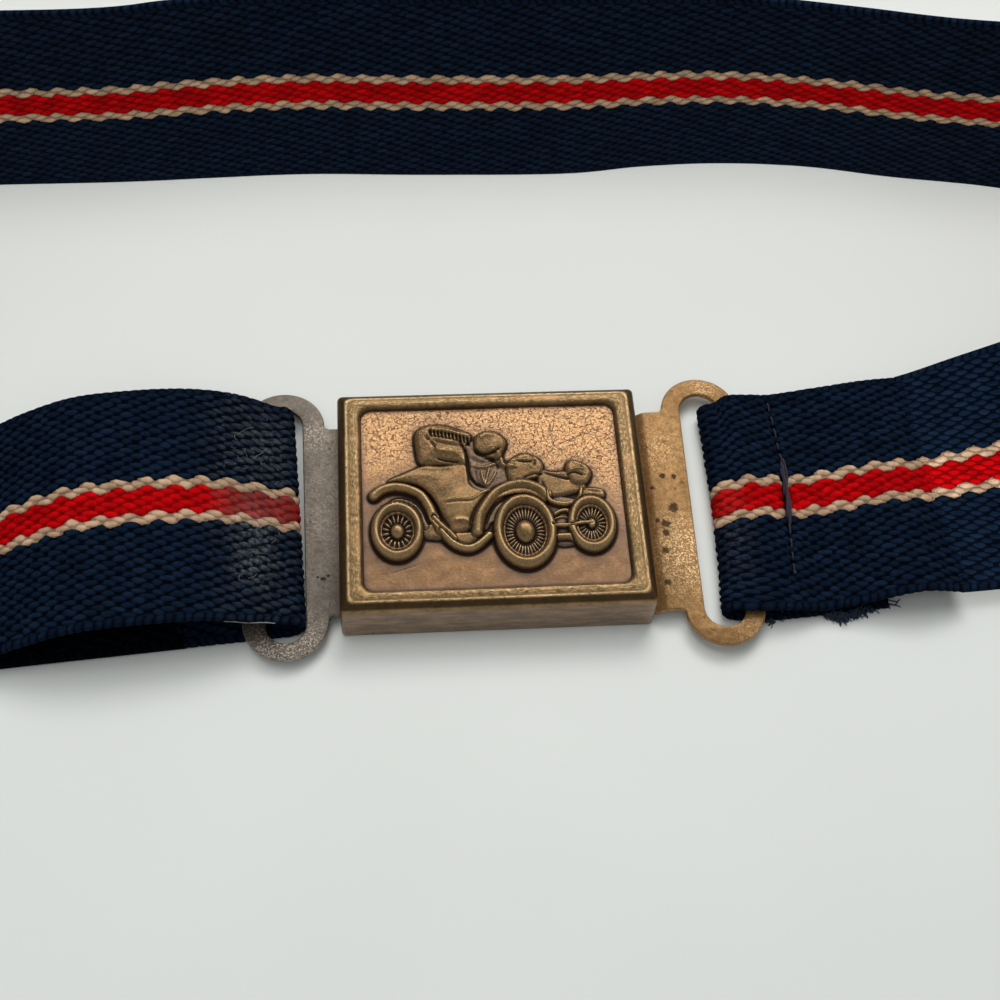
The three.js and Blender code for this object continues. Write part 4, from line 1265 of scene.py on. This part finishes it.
def stamped_sheet(name, rings):
    """A flat sheet round its middle plane, bounded by the rings, with rolled-over edges."""
    edge = 0.17
    data = bpy.data.curves.new(name + "_outline", "CURVE")
    data.dimensions = "2D"
    data.fill_mode = "BOTH"
    data.extrude = PLATE / 2 - edge
    data.bevel_depth = edge
    data.bevel_resolution = 3
    data.offset = -edge
    for ring in rings:
        spline = data.splines.new("POLY")
        spline.points.add(len(ring) - 1)
        for point, (x, y) in zip(spline.points, ring):
            point.co = (x, y, 0, 1)
        spline.use_cyclic_u = True
    holder = bpy.data.objects.new(name + "_outline", data)
    bpy.context.scene.collection.objects.link(holder)
    bpy.context.view_layer.update()
    mesh = bpy.data.meshes.new_from_object(holder.evaluated_get(bpy.context.evaluated_depsgraph_get()))
    bpy.data.objects.remove(holder)
    bpy.data.curves.remove(data)
    return mesh


def part_under_cover(name, node, plate):
    """The CAD's own faces of a plate from its far end to the cut line."""
    source = bmesh.new()
    source.from_mesh(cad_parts[node].data)
    bmesh.ops.remove_doubles(source, verts=source.verts, dist=1e-6)
    side = plate["side"]
    cut = (plate["cut"] + MIDDLE[0] + side * 0.05) / 1000
    bmesh.ops.bisect_plane(source, geom=source.verts[:] + source.edges[:] + source.faces[:],
                           plane_co=(cut, 0, 0), plane_no=(side, 0, 0), clear_outer=True)
    mesh = bpy.data.meshes.new(name + "_inner")
    source.to_mesh(mesh)
    source.free()
    return mesh


def plate_piece(name, node, plate, material):
    """A stamped plate outside the cover, stepping up from drop below its level between the bends."""
    bm = bmesh.new()
    bm.from_mesh(stamped_sheet(name, (plate_outline(plate), slot_outline(plate))))
    bmesh.ops.remove_doubles(bm, verts=bm.verts, dist=1e-4)
    bends = plate["bends"]
    for at in bends:
        bmesh.ops.bisect_plane(bm, geom=bm.verts[:] + bm.edges[:] + bm.faces[:], plane_co=(at, 0, 0),
                               plane_no=(1, 0, 0))
    for vert in bm.verts:
        x, y, z = vert.co
        z += PLATE / 2 + plate["bottom"]
        if bends:
            z -= plate["drop"] * (1 - float(smoothstep(bends[0], bends[-1], x)))
        vert.co = Vector(to_row([[x, y, z]])[0])
    under_cover = part_under_cover(name, node, plate)
    bm.from_mesh(under_cover)
    bpy.data.meshes.remove(under_cover)
    mesh = bpy.data.meshes.new(name)
    bm.to_mesh(mesh)
    bm.free()
    mesh.materials.clear()
    mesh.materials.append(material)
    obj = bpy.data.objects.new(name, mesh)
    bpy.context.scene.collection.objects.link(obj)
    mesh.polygons.foreach_set("use_smooth", [True] * len(mesh.polygons))
    mesh.set_sharp_from_angle(angle=math.radians(35))
    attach(obj, "root")
    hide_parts(node)


COPPER_GLINTS = ((24.5, -7.0, 9.0, 0.85), (31, -17.5, 4.5, 0.35), (22.0, 9.0, 6.0, 0.3),
                 (29.5, 18.0, 3.5, 0.5))
COPPER_PITS = ((22.4, 4.6, 0.5), (23.8, 4.4, 0.4), (23.3, -0.2, 0.75), (22.0, -2.4, 0.7), (21.9, -3.8, 0.6),
               (21.0, -2.0, 0.4), (21.5, -6.3, 0.6), (21.2, -10.8, 0.55), (20.8, 2.8, 0.4))
TAUPE_GLINTS = ((-22.8, 12.6, 4.2, 0.7), (-26.0, -18.0, 8.5, 1.3), (-21.5, 0.0, 12.0, 0.2))
TAUPE_PITS = ((-21.2, -8.4, 0.35), (-21.9, -8.2, 0.2), (-20.6, -8.0, 0.25))
copper = plate_metal("copper_plate", (0.24, 0.130, 0.046), (0.41, 0.228, 0.086), COPPER_GLINTS,
                     (1.0, 0.70, 0.39), (0.23, 0.115, 0.050), COPPER_PITS)
taupe = plate_metal("taupe_plate", (0.135, 0.112, 0.090), (0.215, 0.185, 0.155), TAUPE_GLINTS,
                    (0.62, 0.52, 0.41), (0.12, 0.085, 0.062), TAUPE_PITS)
plate_piece("loop_plate_body", "loop_plate", CATCH, copper)
plate_piece("hook_plate_body", "hook_plate", HOOK, taupe)


# threads, frayed ends and lint

def thread_finish(name, dark, light):
    n = Shader(name)
    place = n.place()
    colour = n.mix(n.noise(place, 3.0, 3.0, 0.6), dark, light)
    return n.finish(colour, 0.8, n.bump(n.noise(place, 9.0, 2.0), 0.03, 0.5), Sheen_Weight=0.1)


def add_threads(name, parts, material):
    points, faces = merged(parts)
    add_object(name, points, faces, material)


def on_strap(s, v, lift):
    """A point on the strap's outer face."""
    middle, across, normal, _ = route.sample(np.array([s - 0.05, s, s + 0.05]))
    return middle[1] + across[1] * v + normal[1] * lift


def line_on_strap(s, v, lift):
    return np.array([on_strap(*place) for place in zip(s, v, lift)])


def seam_stitches(seam_at, start, end):
    parts = []
    v = start
    while v > end:
        length = 1.45 + 0.2 * rng.standard_normal()
        t = np.linspace(0, 1, 7)
        across = v - t * length
        along = seam_at(across) + 0.03 * rng.standard_normal()
        parts.append(tube(line_on_strap(along, across, 0.26 + 0.14 * np.sin(np.pi * t)), 0.12, 6))
        v -= length + 0.6 + 0.1 * rng.standard_normal()
    return parts


# slack threads over the stripe: offset from the seam and place across at both ends, radius and height
SLACK = (((-0.35, 6.0), (-0.28, 0.6), 0.14, 0.55), ((0.05, 5.4), (0.10, -3.4), 0.20, 0.66),
         ((-0.25, 2.0), (-0.1, -4.4), 0.18, 0.60), ((0.35, 4.6), (0.20, 0.2), 0.12, 0.55))


def slack_threads():
    parts = []
    t = np.linspace(0, 1, 16)
    for (s0, v0), (s1, v1), radius, high in SLACK:
        across = v0 + (v1 - v0) * t
        along = right_seam(across) + s0 + (s1 - s0) * t + 0.08 * np.sin(9 * t)
        lift = 0.15 + (high - 0.15) * np.sin(np.pi * t) ** 0.5
        parts.append(tube(line_on_strap(along, across, lift), radius, 7))
    t = np.linspace(0, 1, 6)
    knot_at = right_seam(-10.8) + 0.05
    parts.append(tube(line_on_strap(knot_at + 0 * t, -10.8 - 0.5 * t, 0.42 + 0.1 * np.sin(3 * t)), 0.2, 7))
    return parts


def left_seam(v):
    return route.at["left_seam"] + 0 * v


def strand(start, direction, length, curl, radius, steps=9, pull=0.0):
    """A loose fibre that wanders by curl, sinks by pull and stays on the table."""
    point = np.array(start, dtype=float)
    heading = np.array(direction, dtype=float)
    heading /= np.linalg.norm(heading)
    points = [point.copy()]
    for _ in range(steps):
        heading = heading + curl * rng.standard_normal(3) + np.array([0, 0, -pull])
        heading /= np.linalg.norm(heading)
        point = point + heading * length / steps
        point[2] = max(point[2], 0.03 + radius)
        points.append(point.copy())
    return tube(points, radius, 4, 0.3)


# tufts at the tail's near corner: place, number of fibres and their size
TUFTS = ((33.8, -15.7, 60, 0.6), (35.6, -15.3, 40, 0.5), (38.5, -14.9, 50, 0.45), (41.4, -15.3, 80, 0.7),
         (43.0, -15.5, 150, 1.0), (44.6, -15.1, 150, 0.9), (46.2, -14.7, 90, 0.8))


def frayed_end():
    end_x = RIGHT["seam"] + RIGHT["tail"]
    end_y = RIGHT["middle"] + SLOPE * (end_x - RIGHT["fold"])
    parts = []
    for _ in range(230):
        v = rng.uniform(-15.6, 15.6)
        start = (end_x - 0.4 - 0.078 * v, end_y + v, rng.uniform(0.2, 1.0))
        heading = (1.0, 0.3 * rng.standard_normal(), 0.1 * rng.standard_normal())
        parts.append(strand(start, heading, rng.uniform(0.8, 2.6), 0.28, rng.uniform(0.07, 0.14), pull=0.05))
    return parts


def tufts():
    parts = []
    for x, y, count, size in TUFTS:
        for _ in range(count):
            start = (x + 0.45 * size * rng.standard_normal(), y + 0.5 + 0.25 * rng.standard_normal(),
                     rng.uniform(0.2, 0.9))
            heading = (0.5 * rng.standard_normal(), -1.0 + 0.3 * rng.standard_normal(),
                       0.2 * rng.standard_normal())
            parts.append(strand(start, heading, size * rng.uniform(0.7, 1.6), 0.5, rng.uniform(0.05, 0.11),
                                pull=0.12))
    return parts


def lint_on_fold():
    parts = []
    for _ in range(30):
        past = rng.uniform(2.0, 9.5)
        v = rng.choice([rng.uniform(-11, -2), rng.uniform(3, 14)])
        start = on_strap(S_LEFT + past, v, 0.62)
        heading = (rng.standard_normal(), rng.standard_normal(), 0.25)
        parts.append(strand(start, heading, rng.uniform(0.5, 1.8), 0.35, rng.uniform(0.012, 0.024), 8, 0.06))
    for past, v, length in ((7.4, 9.6, 3.0), (5.6, 6.4, 2.4), (4.0, -5.2, 2.0)):
        start = on_strap(S_LEFT + past, v, 0.64)
        parts.append(strand(start, (0.9, 0.7, 0.12), length, 0.25, 0.022, 12, 0.05))
    t = np.linspace(0, 1, 40)
    lift = 0.75 * (1 - t) ** 2 - 0.15 + 0.12 * np.sin(9 * t)
    loose = line_on_strap(S_LEFT + 4.0 + 6.4 * t, -16.35 + 0.35 * (1 - t) ** 2, lift)
    return parts + [tube(loose, 0.065, 5, 0.2)]


purple_thread = thread_finish("purple_thread", (0.005, 0.003, 0.008), (0.027, 0.016, 0.036))
navy_thread = thread_finish("navy_thread", (0.003, 0.008, 0.020), (0.012, 0.028, 0.060))
pale_thread = thread_finish("pale_thread", (0.13, 0.13, 0.115), (0.30, 0.295, 0.26))
right_stitches = seam_stitches(right_seam, 14.6, 5.4) + seam_stitches(right_seam, -4.0, -10.6)
add_threads("seam_thread_right", right_stitches + slack_threads(), purple_thread)
add_threads("seam_thread_left", seam_stitches(left_seam, 13.8, -13.8), purple_thread)
add_threads("frayed_tail", frayed_end() + tufts(), navy_thread)
add_threads("lint", lint_on_fold(), pale_thread)


# floor, light and camera

def floor_finish():
    n = Shader("pale_floor")
    place = n.place()
    colour = n.mix(n.noise(place, 0.02, 2.0), (0.668, 0.682, 0.650), (0.718, 0.732, 0.700))
    return n.finish(colour, 0.75, n.bump(n.noise(place, 1.4, 3.0, 0.6), 0.02, 0.15), Specular_IOR_Level=0.2)


def add_floor(half):
    mesh = bpy.data.meshes.new("floor")
    corners = [(-half, -half, 0), (half, -half, 0), (half, half, 0), (-half, half, 0)]
    mesh.from_pydata(corners, [], [(0, 1, 2, 3)])
    mesh.materials.append(floor_finish())
    floor = bpy.data.objects.new("floor", mesh)
    bpy.context.scene.collection.objects.link(floor)


def area_light(name, place, target, size, power, colour, glossy=True, diffuse=True):
    data = bpy.data.lights.new(name, "AREA")
    data.shape = "RECTANGLE"
    data.size, data.size_y = size[0] / 1000, size[1] / 1000
    data.energy = power
    data.color = colour
    obj = bpy.data.objects.new(name, data)
    place, target = to_row([place, target])
    obj.location = place
    obj.rotation_euler = Vector(target - place).to_track_quat("-Z", "Y").to_euler()
    obj.visible_glossy = glossy
    obj.visible_diffuse = diffuse
    bpy.context.scene.collection.objects.link(obj)
    return obj


def pass_by(light, piece):
    """The piece casts no shadow in this light."""
    blockers = bpy.data.collections.new(light.name + "_blockers")
    blockers.objects.link(piece)
    light.light_linking.blocker_collection = blockers
    blockers.collection_objects[0].light_linking.link_state = "EXCLUDE"


def add_lights():
    """Window and strip are seen in the metal only; sky, lamp and bounce light the cloth and the table."""
    area_light("window", (140, 410, 400), (0, 0, 0), (760, 400), 1.55, (1.0, 0.985, 0.96), diffuse=False)
    area_light("strip", (60, 520, 380), (0, 0, 0), (520, 60), 0.55, (1.0, 0.97, 0.92), diffuse=False)
    sky = area_light("sky", (60, 200, 340), (0, 0, 0), (200, 160), 0.80, (1.0, 0.99, 0.98), glossy=False)
    pass_by(sky, waist)
    area_light("lamp", (-80, 80, 560), (-10, 30, 0), (280, 280), 1.10, (0.985, 0.99, 1.0), glossy=False)
    area_light("bounce", (-60, -160, 330), (-20, 60, 0), (240, 160), 0.18, (1.0, 0.99, 0.97), glossy=False)
    world = bpy.data.worlds.new("room")
    bpy.context.scene.world = world
    world.use_nodes = True
    background = world.node_tree.nodes["Background"]
    background.inputs["Color"].default_value = (0.88, 0.94, 0.97, 1)
    background.inputs["Strength"].default_value = 0.30


# The camera was fitted to the photograph: degrees, and millimetres from the buckle's middle.
CAMERA = {"azimuth": -8.119, "elevation": 60.017, "roll": 5.172, "distance": 193.56,
          "target": (1.402, 3.233, 0.0), "lens": 54.0, "sensor": 36.0}


def add_camera():
    azimuth, elevation, roll = (math.radians(CAMERA[key]) for key in ("azimuth", "elevation", "roll"))
    level = np.array([math.cos(azimuth), math.sin(azimuth), 0.0])
    away = np.array([math.sin(azimuth), -math.cos(azimuth), 0.0])
    back = away * math.cos(elevation) + np.array([0, 0, math.sin(elevation)])
    upright = np.cross(back, level)
    x_axis = level * math.cos(roll) + upright * math.sin(roll)
    y_axis = upright * math.cos(roll) - level * math.sin(roll)
    eye = to_row([np.array(CAMERA["target"]) + back * CAMERA["distance"]])[0]
    data = bpy.data.cameras.new("camera")
    data.lens = CAMERA["lens"]
    data.sensor_width = CAMERA["sensor"]
    data.clip_start = 0.01
    camera = bpy.data.objects.new("camera", data)
    rows = np.column_stack([x_axis, y_axis, back, eye]).tolist()
    camera.matrix_world = Matrix(rows + [[0, 0, 0, 1]])
    bpy.context.scene.collection.objects.link(camera)
    bpy.context.scene.camera = camera


add_floor(0.9)
add_lights()
add_camera()
bpy.context.scene.view_settings.view_transform = "Standard"
bpy.context.scene.view_settings.look = "None"
